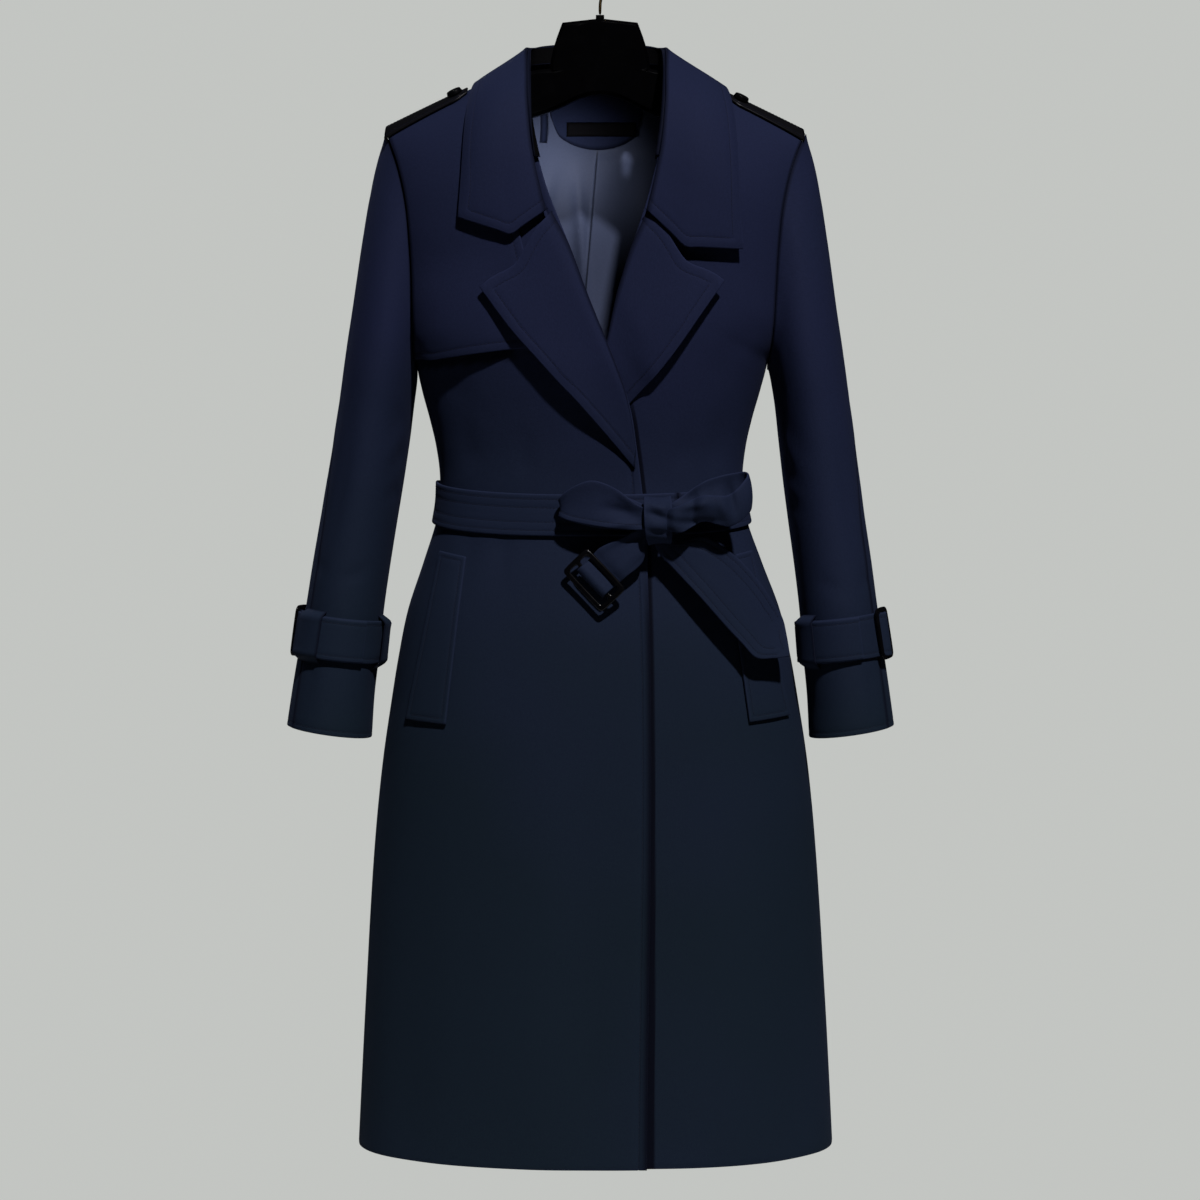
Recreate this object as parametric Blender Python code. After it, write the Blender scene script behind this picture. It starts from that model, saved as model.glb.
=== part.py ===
"""A belted trench coat hanging on a plain coat hanger.

Metres, +Z up, +X to the left-hand side of the coat's wearer, the coat facing -Y.
The origin is the hang point, inside the top of the hanger's hook.

The coat's shell is one smooth surface, coat(s, t). Every panel is a stretch of it: a flat slab of
cells is bent so that it follows the surface, with its wall laid to the inside. What lies on a panel
(flap, lapels, welts, belt) is a stretch of the same surface moved outwards.
"""
import math
from collections import namedtuple

import bmesh
import bpy
import numpy as np
from mathutils import Matrix, Vector
from mathutils.geometry import interpolate_bezier

# ---------------------------------------------------------------- driving sizes
CLOTH = 0.0022          # wall of the shell cloth
DOUBLE = 0.0026         # wall of two layers stitched together
LINING = 0.0012         # wall of the lining
SEAM = 0.0004           # gap left between two pieces at a seam
CLEAR = 0.0006          # gap under a piece that lies on another
BULGE = 2.3             # fullness of the coat's level sections: 2 is an ellipse
HALF_TURN = math.pi / 2

HEM_Z = -1.154          # where the hem meets the side seams
HEM_SWING = 0.004       # how far the hem's middle hangs below its sides
RIDGE = 0.120           # height over which a shoulder rounds over to the upright front
SHOULDER_TOP = -0.0738  # shoulder seam: height = SHOULDER_TOP - SHOULDER_FALL * (x from the middle)
SHOULDER_FALL = 0.5
SHOULDER_SOFT = 0.05    # keeps the shoulder line round at the neck
TIP_X = 0.2015          # shoulder tip, from the centre line
ARMPIT_Z = -0.402
NECK_X = 0.0675         # side of the neck, from the centre line
NECK_MIDDLE = -0.0035   # the neck's middle, from the hook's upright line
BACK_NECK_DROP = 0.050  # how far the back neckline is hollowed, along the surface
BACK_NECK_ROUND = 0.7   # roundness of that hollow: the power of its cosine

Section = namedtuple("Section", "z half_width front back centre")
COAT_SECTIONS = (
    Section(-1.154, 0.2313, 0.108, 0.108, -0.0044),
    Section(-1.043, 0.2255, 0.108, 0.107, -0.0044),
    Section(-0.970, 0.2212, 0.107, 0.105, -0.0046),
    Section(-0.873, 0.2149, 0.106, 0.103, -0.0048),
    Section(-0.776, 0.2052, 0.105, 0.101, -0.0048),
    Section(-0.728, 0.1979, 0.104, 0.100, -0.0050),
    Section(-0.679, 0.1896, 0.101, 0.096, -0.0053),
    Section(-0.630, 0.1785, 0.096, 0.089, -0.0060),
    Section(-0.582, 0.1612, 0.088, 0.081, -0.0072),
    Section(-0.546, 0.1495, 0.082, 0.075, -0.0080),
    Section(-0.498, 0.1465, 0.080, 0.073, -0.0085),
    Section(-0.461, 0.1528, 0.084, 0.077, -0.0088),
    Section(-0.425, 0.1625, 0.090, 0.083, -0.0086),
    Section(-0.402, 0.1680, 0.094, 0.087, -0.0080),
    Section(-0.370, 0.1830, 0.097, 0.090, -0.0070),
    Section(-0.300, 0.1920, 0.098, 0.092, -0.0055),
    Section(-0.220, 0.2030, 0.095, 0.090, -0.0045),
    Section(-0.150, 0.2200, 0.090, 0.086, -0.0040),
    Section(-0.080, 0.2300, 0.086, 0.083, -0.0035),
)
Armhole = namedtuple("Armhole", "z reach")
ARMHOLE_SEAM = (
    Armhole(-0.402, 0.1680),
    Armhole(-0.370, 0.1712),
    Armhole(-0.300, 0.1735),
    Armhole(-0.260, 0.1765),
    Armhole(-0.225, 0.1830),
    Armhole(-0.195, 0.1930),
    Armhole(-0.170, 0.2050),
)

# x of each front's inner edge: skirt edge, then roll line, then neckline
Edge = namedtuple("Edge", "z x")
RIGHT_FRONT_EDGE = (
    Edge(-1.170, 0.0440),
    Edge(-0.600, 0.0447),
    Edge(-0.545, 0.0425),
    Edge(-0.510, 0.0378),
    Edge(-0.4765, 0.0338),
    Edge(-0.4531, 0.0310),
    Edge(-0.4306, 0.0253),
    Edge(-0.3884, 0.0103),
    Edge(-0.3349, -0.0113),
    Edge(-0.2824, -0.0309),
    Edge(-0.2517, -0.0440),
    Edge(-0.2040, -0.0585),
    Edge(-0.1600, -0.0665),
    Edge(-0.1100, -0.0710),
)
LEFT_FRONT_EDGE = (
    Edge(-1.170, -0.0450),
    Edge(-0.560, -0.0450),
    Edge(-0.4900, -0.0340),
    Edge(-0.4500, -0.0200),
    Edge(-0.4100, -0.0040),
    Edge(-0.3713, 0.0084),
    Edge(-0.3366, 0.0150),
    Edge(-0.2865, 0.0310),
    Edge(-0.2517, 0.0425),
    Edge(-0.2040, 0.0545),
    Edge(-0.1600, 0.0615),
    Edge(-0.1100, 0.0645),
)
OVERLAP_LIFT = 0.0050   # how far the right front stands out where it laps over
UNDERLAP_SINK = 0.0015  # how far the left front gives way under it

Sleeve = namedtuple("Sleeve", "z inner outer half_depth middle_y sway")
SLEEVE_SECTIONS = (
    Sleeve(-0.756, 0.2105, 0.2935, 0.046, -0.022, -0.0092),
    Sleeve(-0.727, 0.2095, 0.2900, 0.047, -0.020, -0.0090),
    Sleeve(-0.703, 0.2066, 0.2862, 0.047, -0.018, -0.0088),
    Sleeve(-0.630, 0.1998, 0.2750, 0.049, -0.012, -0.0080),
    Sleeve(-0.582, 0.1935, 0.2682, 0.051, -0.007, -0.0074),
    Sleeve(-0.533, 0.1862, 0.2604, 0.053, -0.003, -0.0068),
    Sleeve(-0.485, 0.1795, 0.2537, 0.056, 0.000, -0.0058),
    Sleeve(-0.436, 0.1737, 0.2464, 0.058, 0.002, -0.0053),
    Sleeve(-0.402, 0.1690, 0.2418, 0.060, 0.002, -0.0053),
    Sleeve(-0.364, 0.1690, 0.2357, 0.061, 0.002, -0.0053),
    Sleeve(-0.291, 0.1690, 0.2250, 0.060, 0.001, -0.0050),
    Sleeve(-0.243, 0.1690, 0.2173, 0.058, 0.000, -0.0048),
    Sleeve(-0.200, 0.1690, 0.2085, 0.052, 0.000, -0.0045),
    Sleeve(-0.1775, 0.1690, 0.2020, 0.045, 0.000, -0.0045),
)
SLEEVE_TURN_Z = -0.470  # below this the sleeve's rings are level, above it they tip towards the armhole
CUFF_Z = -0.7505        # cuff edge at the middle of its width
CUFF_SLOPE = 0.006      # half the drop of the cuff edge from its outer to its inner side


# ---------------------------------------------------------------- reading tables
def curve(rows, key, value):
    """A smooth curve through one named column of a table, read against another column."""
    pairs = sorted((getattr(row, key), getattr(row, value)) for row in rows)
    at = np.array([pair[0] for pair in pairs])
    to = np.array([pair[1] for pair in pairs])
    slope = np.gradient(to, at)

    def read(x):
        x = np.clip(x, at[0], at[-1])
        i = np.clip(np.searchsorted(at, x) - 1, 0, len(at) - 2)
        step = at[i + 1] - at[i]
        f = (x - at[i]) / step
        start = (1 + 2 * f) * (1 - f) ** 2 * to[i] + f * (1 - f) ** 2 * step * slope[i]
        end = f * f * (3 - 2 * f) * to[i + 1] - f * f * (1 - f) * step * slope[i + 1]
        return start + end

    return read


half_width = curve(COAT_SECTIONS, "z", "half_width")
front_depth = curve(COAT_SECTIONS, "z", "front")
back_depth = curve(COAT_SECTIONS, "z", "back")
centre = curve(COAT_SECTIONS, "z", "centre")
armhole_reach = curve(ARMHOLE_SEAM, "z", "reach")
right_edge_x = curve(RIGHT_FRONT_EDGE, "z", "x")
left_edge_x = curve(LEFT_FRONT_EDGE, "z", "x")
sleeve_inner = curve(SLEEVE_SECTIONS, "z", "inner")
sleeve_outer = curve(SLEEVE_SECTIONS, "z", "outer")
sleeve_depth = curve(SLEEVE_SECTIONS, "z", "half_depth")
sleeve_middle = curve(SLEEVE_SECTIONS, "z", "middle_y")
sleeve_sway = curve(SLEEVE_SECTIONS, "z", "sway")


def blend(a, b, f):
    return a + (b - a) * f


def ease(x, start, end):
    """0 before start, 1 after end, smooth between them."""
    f = np.clip((x - start) / (end - start), 0, 1)
    return f * f * (3 - 2 * f)


def unit(vectors):
    return vectors / np.maximum(np.linalg.norm(vectors, axis=-1, keepdims=True), 1e-12)


# ---------------------------------------------------------------- the coat's outer face
def shoulder_z(x):
    return SHOULDER_TOP - SHOULDER_FALL * np.sqrt(x * x + SHOULDER_SOFT ** 2)


def fall(t):
    """Drop below the shoulder seam, and share of the full depth, at a way t down from the seam."""
    down = np.abs(t)
    angle = np.minimum(down / RIDGE, HALF_TURN)
    drop = RIDGE * (1 - np.cos(angle)) + np.maximum(down - RIDGE * HALF_TURN, 0)
    return drop, np.sin(angle)


def way_down(drop):
    """The way down from the shoulder seam at which the surface has dropped so far."""
    inside = np.arccos(np.clip(1 - drop / RIDGE, 0, 1)) * RIDGE
    return np.where(drop < RIDGE, inside, drop - RIDGE + RIDGE * HALF_TURN)


def width_share(s):
    return np.sign(s) * np.abs(np.sin(HALF_TURN * s)) ** (2 / BULGE)


def side_of(x, z):
    """s at a distance x from the hook's upright line, at height z."""
    share = np.clip((x - centre(z)) / half_width(z), -1, 1)
    return np.sign(share) * np.arcsin(np.abs(share) ** (BULGE / 2)) / HALF_TURN


def coat(s, t):
    """Outer face of the coat: s runs from the right side seam (-1) over the middle to the left (1),
    t is the way down from the shoulder seam, in front where positive and behind where negative."""
    s, t = np.broadcast_arrays(np.asarray(s, float), np.asarray(t, float))
    share = width_share(s)
    drop, full = fall(t)
    x = 0.19 * share
    for _ in range(7):
        z = shoulder_z(x) - drop
        x = half_width(z) * share
    z = shoulder_z(x) - drop
    deep = np.where(t > 0, front_depth(z), back_depth(z))
    y = -np.sign(t) * deep * np.cos(HALF_TURN * np.clip(s, -1, 1)) ** (2 / BULGE) * full
    return np.stack((x + centre(z), y, z), axis=-1)


def with_outward(surface, s, t, away, step=2e-4):
    """Points of a surface and its unit normals on the side that points away from `away`."""
    point = surface(s, t)
    along_s = surface(s + step, t) - surface(s - step, t)
    along_t = surface(s, t + step) - surface(s, t - step)
    normal = unit(np.cross(along_s, along_t))
    turned = np.sum(normal * (point - away(point)), axis=-1, keepdims=True) < 0
    return point, np.where(turned, -normal, normal)


def coat_axis(point):
    """A point well inside the coat, level with the given one, or lower near the shoulders."""
    z = np.minimum(point[..., 2] - 0.02, -0.30)
    x = point[..., 0] * 0.5
    return np.stack((x, np.zeros_like(x), np.where(point[..., 2] < -0.30, point[..., 2], z)), axis=-1)


def coat_face(s, t):
    s = np.clip(s, -1 + 4e-4, 1 - 4e-4)
    return with_outward(coat, s, t, coat_axis)


def t_at(x, z, behind=False):
    """t of the point of the coat at x, z, seen from the front or from behind."""
    t = way_down(shoulder_z(x - centre(z)) - z)
    return -t if behind else t


def coat_at(x, z, behind=False):
    """Point and normal of the coat at a place given by x and z."""
    return coat_face(side_of(x, z), t_at(x, z, behind))


# ---------------------------------------------------------------- making solids
def material(name, colour, roughness, metallic=0.0):
    made = bpy.data.materials.new(name)
    made.use_nodes = True
    shader = made.node_tree.nodes["Principled BSDF"]
    shader.inputs["Base Color"].default_value = (*colour, 1.0)
    shader.inputs["Roughness"].default_value = roughness
    shader.inputs["Metallic"].default_value = metallic
    made.diffuse_color = (*colour, 1.0)
    return made


NAVY = (0.011, 0.014, 0.032)
LINING_BLUE = (0.07, 0.085, 0.13)
BLACK = (0.006, 0.006, 0.007)
BRASS = (0.62, 0.42, 0.17)


def add_solid(name, mesh, colour=NAVY, roughness=0.85, metallic=0.0):
    """Put a finished bmesh into the coat's collection as one named solid with its own material."""
    bmesh.ops.recalc_face_normals(mesh, faces=mesh.faces[:])
    data = bpy.data.meshes.new(name)
    mesh.to_mesh(data)
    mesh.free()
    data.shade_smooth()
    data.set_sharp_from_angle(angle=math.radians(40))
    data.materials.append(material(name, colour, roughness, metallic))
    solid = bpy.data.objects.new(name, data)
    bpy.data.collections["trench_coat"].objects.link(solid)
    return solid


def flat_slab(columns, rows):
    """A flat slab of cells, one cell thick, with u and v from 0 to 1 and w 0 below, 1 above."""
    mesh = bmesh.new()
    bmesh.ops.create_grid(mesh, x_segments=columns, y_segments=rows, size=0.5)
    lower = mesh.faces[:]
    raised = bmesh.ops.extrude_face_region(mesh, geom=lower, use_keep_orig=True)
    for vert in raised["geom"]:
        if isinstance(vert, bmesh.types.BMVert):
            vert.co.z = 1.0
    return mesh


def cloth(name, columns, rows, place, low=-CLOTH, high=0.0, **finish):
    """A wall of cloth: a flat slab bent onto place(u, v), which gives points and outward normals.
    low and high are the levels of its two faces along the normal, as numbers or functions of u, v."""
    mesh = flat_slab(columns, rows)
    flat = np.array([vert.co[:] for vert in mesh.verts])
    u, v = np.clip(flat[:, 0] + 0.5, 0, 1), np.clip(flat[:, 1] + 0.5, 0, 1)
    point, normal = place(u, v)
    floor = low(u, v) if callable(low) else np.full_like(u, low)
    roof = high(u, v) if callable(high) else np.full_like(u, high)
    level = np.where(flat[:, 2] > 0.5, roof, floor)
    for vert, co in zip(mesh.verts, point + normal * level[:, None]):
        vert.co = co
    return add_solid(name, mesh, **finish)


# ---------------------------------------------------------------- body panels
def hem_z(s):
    """The hem hangs a little lower in the middle than at the side seams."""
    return HEM_Z - HEM_SWING * np.cos(HALF_TURN * s)


def hem_t(s):
    z = hem_z(s)
    return way_down(shoulder_z(half_width(z) * width_share(s)) - z)


ROWS_BELOW, ROWS_ABOVE = 17, 10     # rows of cells below the armpit, and beside the armhole
ROWS_CROWD = 0.40       # how much the rows below crowd together towards the waist and armpit
ARMPIT_SHARE = ROWS_BELOW / (ROWS_BELOW + ROWS_ABOVE)
ARMPIT_T = float(way_down(shoulder_z(armhole_reach(ARMPIT_Z)) - ARMPIT_Z))


def above_t(q):
    """Way down from the shoulder at a share q of the rows from the armpit (0) to the shoulder (1)."""
    return SEAM / 2 + (ARMPIT_T - SEAM / 2) * blend(1 - q, (1 + np.cos(math.pi * q)) / 2, 0.6)


def row_t(s, v):
    """Way down from the shoulder seam of the row v of a panel, in the column that meets it at s."""
    up = np.clip(v / ARMPIT_SHARE, 0, 1)
    below = blend(hem_t(s), ARMPIT_T, up + ROWS_CROWD * up * (1 - up))
    above = above_t(np.clip((v - ARMPIT_SHARE) / (1 - ARMPIT_SHARE), 0, 1))
    return np.where(v < ARMPIT_SHARE, below, above)


def side_edge_z(t):
    """Height of the side seam, or of the armhole seam above it, at a way t down."""
    drop, _ = fall(t)
    z = shoulder_z(TIP_X) - drop
    for _ in range(12):
        z = shoulder_z(np.where(z < ARMPIT_Z, half_width(z), armhole_reach(z))) - drop
    return z


def side_edge_s(t):
    """s (as a positive number) of the side seam or armhole seam at a way t down."""
    z = side_edge_z(t)
    x = np.where(z < ARMPIT_Z, half_width(z), armhole_reach(z))
    return np.arcsin(np.clip(x / half_width(z), 0, 1) ** (BULGE / 2)) / HALF_TURN


def inner_edge(v, edge_x):
    """s of a front's inner edge, from the hem up to the neck point on the shoulder."""
    drop, _ = fall(row_t(side_of(edge_x(HEM_Z), HEM_Z), v))
    z = -0.1 - drop
    for _ in range(8):
        z = shoulder_z(edge_x(z) - centre(z)) - drop
    return side_of(edge_x(z), z)


def front_place(side, edge_x, lift):
    """Place of a front: u from the side seam to the inner edge, v from the hem to the shoulder."""
    def place(u, v):
        s = blend(side * side_edge_s(row_t(1.0, v)), inner_edge(v, edge_x), u)
        point, normal = coat_face(s, row_t(s, v))
        return point + normal * lift(point)[:, None], normal
    return place


def right_lift(point):
    """The right front stands out over the left one near the middle, most where the lapels cross."""
    x, z = point[:, 0], point[:, 2]
    across = ease(x, -0.11, -0.01)
    return OVERLAP_LIFT * across * ease(z, -0.22, -0.34) * blend(1.0, 0.75, ease(z, -0.58, -0.75))


def left_lift(point):
    x, z = point[:, 0], point[:, 2]
    return -UNDERLAP_SINK * ease(x, 0.09, 0.04) * ease(z, -0.25, -0.36)


def back_place(u, v):
    """Place of the back: u from the right side to the left, v from the hem to shoulders and neck."""
    s = (2 * u - 1) * side_edge_s(row_t(1.0, v))
    t = row_t(s, v)
    return coat_face(s, -np.maximum(t, 0) - (back_neck_t(s) - SEAM / 2) * ease(t, 0.13, 0))


def back_neck_t(s):
    """The back's top edge: the shoulder seams, and a hollowed neckline between them."""
    x = half_width(ARMPIT_Z + 0.1) * width_share(s)
    across = np.abs(np.cos(HALF_TURN * np.clip(x / NECK_X, -1, 1)))
    return SEAM / 2 + BACK_NECK_DROP * across ** BACK_NECK_ROUND


def make_body():
    rows = ROWS_BELOW + ROWS_ABOVE
    cloth("front_right", 11, rows, front_place(-1, right_edge_x, right_lift))
    cloth("front_left", 11, rows, front_place(1, left_edge_x, left_lift))
    cloth("back", 18, rows, back_place)


# ---------------------------------------------------------------- sleeves
LEVEL_SHARE = 0.5       # share of the sleeve's length whose rings are level
SLEEVE_ROWS = 14
TURNS = 2 * ROWS_ABOVE  # columns round a sleeve, one for each row beside the armhole
OUTER_SEAM_LOW = 2.0    # the hindarm seam's column: turned to the front at the cuff,
OUTER_SEAM_HIGH = -1.0  # and behind the shoulder tip at the armhole
INNER_SEAM = ROWS_ABOVE + 1.0
SEAM_TURN = 0.012       # half the gap at a sleeve seam, in columns
ARMHOLE_GAP = 0.0007    # between a sleeve and the body
TIP_Z = float(side_edge_z(SEAM / 2))


def cuff_edge(angle):
    return CUFF_Z + CUFF_SLOPE * np.cos(angle)


def armhole_t(k):
    """Way down from the shoulder of the armhole's point k: 0 at the tip, in front while it rises."""
    k = np.mod(k, TURNS)
    return above_t(1 - np.minimum(k, TURNS - k) / ROWS_ABOVE)


def armhole(side, k):
    """Point of the armhole seam at column k, and the coat's normal there."""
    t = armhole_t(k)
    behind = np.mod(k, TURNS) > ROWS_ABOVE
    point, normal = coat_face(side * side_edge_s(t), np.where(behind, -t, t))
    return point + np.array([side * ARMHOLE_GAP, 0, 0]), normal


def sleeve_angle(k, v):
    """Turn round the sleeve at column k: 0 outside, a quarter turn in front. The columns are even
    at the cuff and meet the rows of the body at the armhole."""
    z = side_edge_z(armhole_t(k))
    share = np.clip((z - ARMPIT_Z) / (TIP_Z - ARMPIT_Z), 0, 1)
    turn = np.arccos(2 * share - 1)
    met = np.where(np.mod(k, TURNS) > ROWS_ABOVE, 2 * math.pi - turn, turn)
    met = met + 2 * math.pi * np.floor(k / TURNS)
    return blend(k * math.pi / ROWS_ABOVE, met, ease(v, 0.6, 1.0))


def sleeve_ring(side, angle, z_in, z_out):
    """Point on a ring of the sleeve that runs from its inner outline at z_in to its outer at z_out."""
    x_in = sleeve_sway(z_in) + side * sleeve_inner(z_in)
    x_out = sleeve_sway(z_out) + side * sleeve_outer(z_out)
    z_mid = (z_in + z_out) / 2
    far = (1 + np.cos(angle)) / 2
    y = sleeve_middle(z_mid) - sleeve_depth(z_mid) * np.sin(angle)
    return np.stack((blend(x_in, x_out, far), y, blend(z_in, z_out, far)), axis=-1)


def sleeve(side, k, v):
    """Outer face of a sleeve: k is the column, v runs from 0 at the cuff to 1 at the armhole."""
    k, v = np.broadcast_arrays(np.asarray(k, float), np.asarray(v, float))
    angle = sleeve_angle(k, v)
    low = np.clip(v / LEVEL_SHARE, -0.1, 1)
    high = np.clip((v - LEVEL_SHARE) / (1 - LEVEL_SHARE), 0, 1)
    level = blend(cuff_edge(angle), SLEEVE_TURN_Z, low)
    z_in = np.where(v < LEVEL_SHARE, level, blend(SLEEVE_TURN_Z, ARMPIT_Z, 1 - (1 - high) ** 2))
    z_out = np.where(v < LEVEL_SHARE, level, blend(SLEEVE_TURN_Z, TIP_Z, high))
    ring = sleeve_ring(side, angle, z_in, z_out)
    met = armhole(side, k)[0] - sleeve_ring(side, sleeve_angle(k, 1.0), ARMPIT_Z, TIP_Z)
    return ring + met * (high ** 3)[..., None]


def sleeve_axis(side):
    """Points inside a sleeve, level with the given ones, or lower near its top."""
    def axis(point):
        z = np.minimum(point[..., 2], -0.30)
        x = sleeve_sway(z) + side * (sleeve_inner(z) + sleeve_outer(z)) / 2
        return np.stack((x, sleeve_middle(z), z), axis=-1)
    return axis


def sleeve_face(side, k, v):
    """Points and normals of a sleeve; at the top its wall turns into line with the armhole's."""
    v = np.clip(v, 1e-4, 1 - 1e-4)
    point, normal = with_outward(lambda a, b: sleeve(side, a, b), k, v, sleeve_axis(side), step=1e-4)
    share = ease(v, 0.88, 0.99) * ease(np.cos(sleeve_angle(k, v)), -0.95, -0.5)
    return point, unit(blend(normal, armhole(side, k)[1], share[..., None]))


def outer_seam(v):
    return blend(OUTER_SEAM_LOW, OUTER_SEAM_HIGH, ease(v, 0.30, 0.72))


def top_sleeve_place(side):
    def place(u, v):
        return sleeve_face(side, blend(outer_seam(v) + SEAM_TURN, INNER_SEAM - SEAM_TURN, u), v)
    return place


def under_sleeve_place(side):
    def place(u, v):
        return sleeve_face(side, blend(INNER_SEAM + SEAM_TURN, outer_seam(v) - SEAM_TURN + TURNS, u), v)
    return place


def sleeve_at(side, k, z):
    """Points and normals of the level part of a sleeve, at column k and a height."""
    edge = cuff_edge(k * math.pi / ROWS_ABOVE)
    return sleeve_face(side, k, LEVEL_SHARE * (z - edge) / (SLEEVE_TURN_Z - edge))


def make_sleeves():
    top_columns = int(INNER_SEAM - OUTER_SEAM_HIGH)
    for side, name in ((-1, "right"), (1, "left")):
        cloth("top_sleeve_" + name, top_columns, SLEEVE_ROWS, top_sleeve_place(side))
        cloth("under_sleeve_" + name, TURNS - top_columns, SLEEVE_ROWS, under_sleeve_place(side))


# ---------------------------------------------------------------- collar and lapels
Collar = namedtuple("Collar", "a neck_t roll_x roll_y roll_z edge_x edge_t proud bulge")
COLLAR = (   # from the middle of the back (a = 0) to the gorge (a = 1); t is negative behind
    Collar(0.00, -0.0500, 0.0000, 0.050, -0.0880, 0.0000, -0.1327, 0.004, 0.003),
    Collar(0.10, -0.0466, 0.0190, 0.049, -0.0882, 0.0300, -0.1290, 0.004, 0.003),
    Collar(0.20, -0.0377, 0.0360, 0.044, -0.0900, 0.0580, -0.1180, 0.004, 0.002),
    Collar(0.38, -0.0147, 0.0600, 0.024, -0.0940, 0.0960, -0.0800, 0.003, 0.000),
    Collar(0.52, 0.0000, 0.0660, 0.004, -0.0970, 0.1140, -0.0150, 0.003, -0.001),
    Collar(0.60, 0.0294, 0.0660, -0.014, -0.1030, 0.1170, 0.0200, 0.005, 0.001),
    Collar(0.68, 0.0714, 0.0655, -0.040, -0.1220, 0.1200, 0.0600, 0.007, 0.005),
    Collar(0.78, 0.1145, 0.0645, -0.073, -0.1530, 0.1235, 0.1050, 0.008, 0.007),
    Collar(0.88, 0.1588, 0.0600, -0.092, -0.1980, 0.1265, 0.1550, 0.007, 0.007),
    Collar(1.00, 0.2058, 0.0465, -0.102, -0.2585, 0.1300, 0.2035, 0.008, 0.005),
)
COLLAR_SHIFT = 0.004    # the whole turned-down part lies this far to the wearer's left
COLLAR_SKEW = 0.012     # the left collar point hangs this much lower than the right one
NOTCH_SHARE = 0.375     # where along the collar's end the lapel leaves it
NOTCH_SAG = 0.020       # how far the end dips there
STAND_END = 0.90        # the stand runs out this far round towards the gorge
STAND_RISE = 0.0016      # gap between the stand and the neckline that it rises from
LAPEL_DIP = 0.0125      # how far a lapel's upper edge dips in its middle
LAPEL_UNDER = 0.0034    # gap under a lapel, which leaves room for the storm flap
LAPEL_PROUD = 0.007     # how much further its outer edge stands off

collar_neck_t, collar_roll_x, collar_roll_y, collar_roll_z = (
    curve(COLLAR, "a", name) for name in ("neck_t", "roll_x", "roll_y", "roll_z"))
collar_edge_x, collar_edge_t, collar_proud, collar_bulge = (
    curve(COLLAR, "a", name) for name in ("edge_x", "edge_t", "proud", "bulge"))


def coat_xt(x, t):
    """Point and normal of the coat at x, and a way t down from the shoulder seam."""
    drop, _ = fall(t)
    z = shoulder_z(x - NECK_MIDDLE) - drop
    return coat_face(side_of(x, z), t)


def collar_roll(along):
    """The collar's roll line, from the right gorge (-1) round the back (0) to the left (1)."""
    a = np.abs(along)
    x = NECK_MIDDLE + np.sign(along) * collar_roll_x(a)
    return np.stack((x, collar_roll_y(a), collar_roll_z(a)), axis=-1)


def neckline(along):
    """The seam between collar and body."""
    a = np.abs(along)
    behind = collar_neck_t(a) < 0
    drop, _ = fall(collar_neck_t(a))
    z = shoulder_z(NECK_X) - drop
    front_x = np.where(along > 0, left_edge_x(z), right_edge_x(z))
    share = np.clip(-collar_neck_t(a) / BACK_NECK_DROP, 0, 1) ** (1 / BACK_NECK_ROUND)
    back_x = NECK_MIDDLE + np.sign(along) * NECK_X * np.arccos(share) / HALF_TURN
    return coat_xt(np.where(behind, back_x, front_x), collar_neck_t(a))


def collar_fall(along, r):
    """The turned-down part: r runs from the roll line (0) to the outer edge (1)."""
    along, r = np.broadcast_arrays(np.asarray(along, float), np.asarray(r, float))
    a = np.abs(along)
    start = collar_roll(along)
    x = NECK_MIDDLE + np.sign(along) * collar_edge_x(a) + COLLAR_SHIFT * ease(a, 0.25, 0.55)
    skew = COLLAR_SKEW * np.sign(along) * ease(a, 0.7, 1.0)
    edge, normal = coat_xt(x, collar_edge_t(a) + skew)
    edge = edge + normal * collar_proud(a)[..., None]
    swell = (collar_bulge(a) * 4 * r * (1 - r))[..., None]
    dip = np.where(r < NOTCH_SHARE, r / NOTCH_SHARE, (1 - r) / (1 - NOTCH_SHARE))
    sag = NOTCH_SAG * ease(a, 0.86, 1.0) * dip
    down = np.stack((np.zeros_like(sag), np.zeros_like(sag), -sag), axis=-1)
    return blend(start, edge, r[..., None]) + normal * swell + down


def collar_place(u, v):
    gap = 0.0015
    return with_outward(collar_fall, (2 * u - 1) * (1 - gap), blend(0.002, 1, v), coat_axis)


def stand_place(u, v, step=2e-4):
    """Place of the stand, from the neckline up to the roll line, with normals away from the neck."""
    def surface(u, v):
        along = (2 * u - 1) * STAND_END
        low, normal = neckline(along)
        return blend(low + normal * STAND_RISE, collar_roll(along), (0.97 * v)[..., None])
    along_u = surface(u + step, v) - surface(u - step, v)
    along_v = surface(u, v + step) - surface(u, v - step)
    return surface(u, v), unit(np.cross(along_v, along_u))


Lapel = namedtuple("Lapel", "h roll_x roll_z edge_x edge_z")
RIGHT_LAPEL = (   # from the gorge and tip (h = 0) to the break point (h = 1)
    Lapel(0.00, -0.0448, -0.2585, -0.1090, -0.3280),
    Lapel(0.20, -0.0286, -0.2890, -0.0820, -0.3650),
    Lapel(0.42, -0.0115, -0.3349, -0.0480, -0.4030),
    Lapel(0.64, 0.0097, -0.3870, -0.0190, -0.4345),
    Lapel(0.82, 0.0250, -0.4306, 0.0060, -0.4650),
    Lapel(1.00, 0.0330, -0.4800, 0.0320, -0.4975),
)
LEFT_LAPEL = (
    Lapel(0.00, 0.0432, -0.2585, 0.1125, -0.3215),
    Lapel(0.20, 0.0293, -0.2900, 0.0880, -0.3575),
    Lapel(0.42, 0.0150, -0.3370, 0.0610, -0.3960),
    Lapel(0.64, 0.0040, -0.3850, 0.0310, -0.4330),
    Lapel(0.82, -0.0100, -0.4250, 0.0050, -0.4600),
    Lapel(1.00, -0.0270, -0.4680, -0.0220, -0.4800),
)


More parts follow.
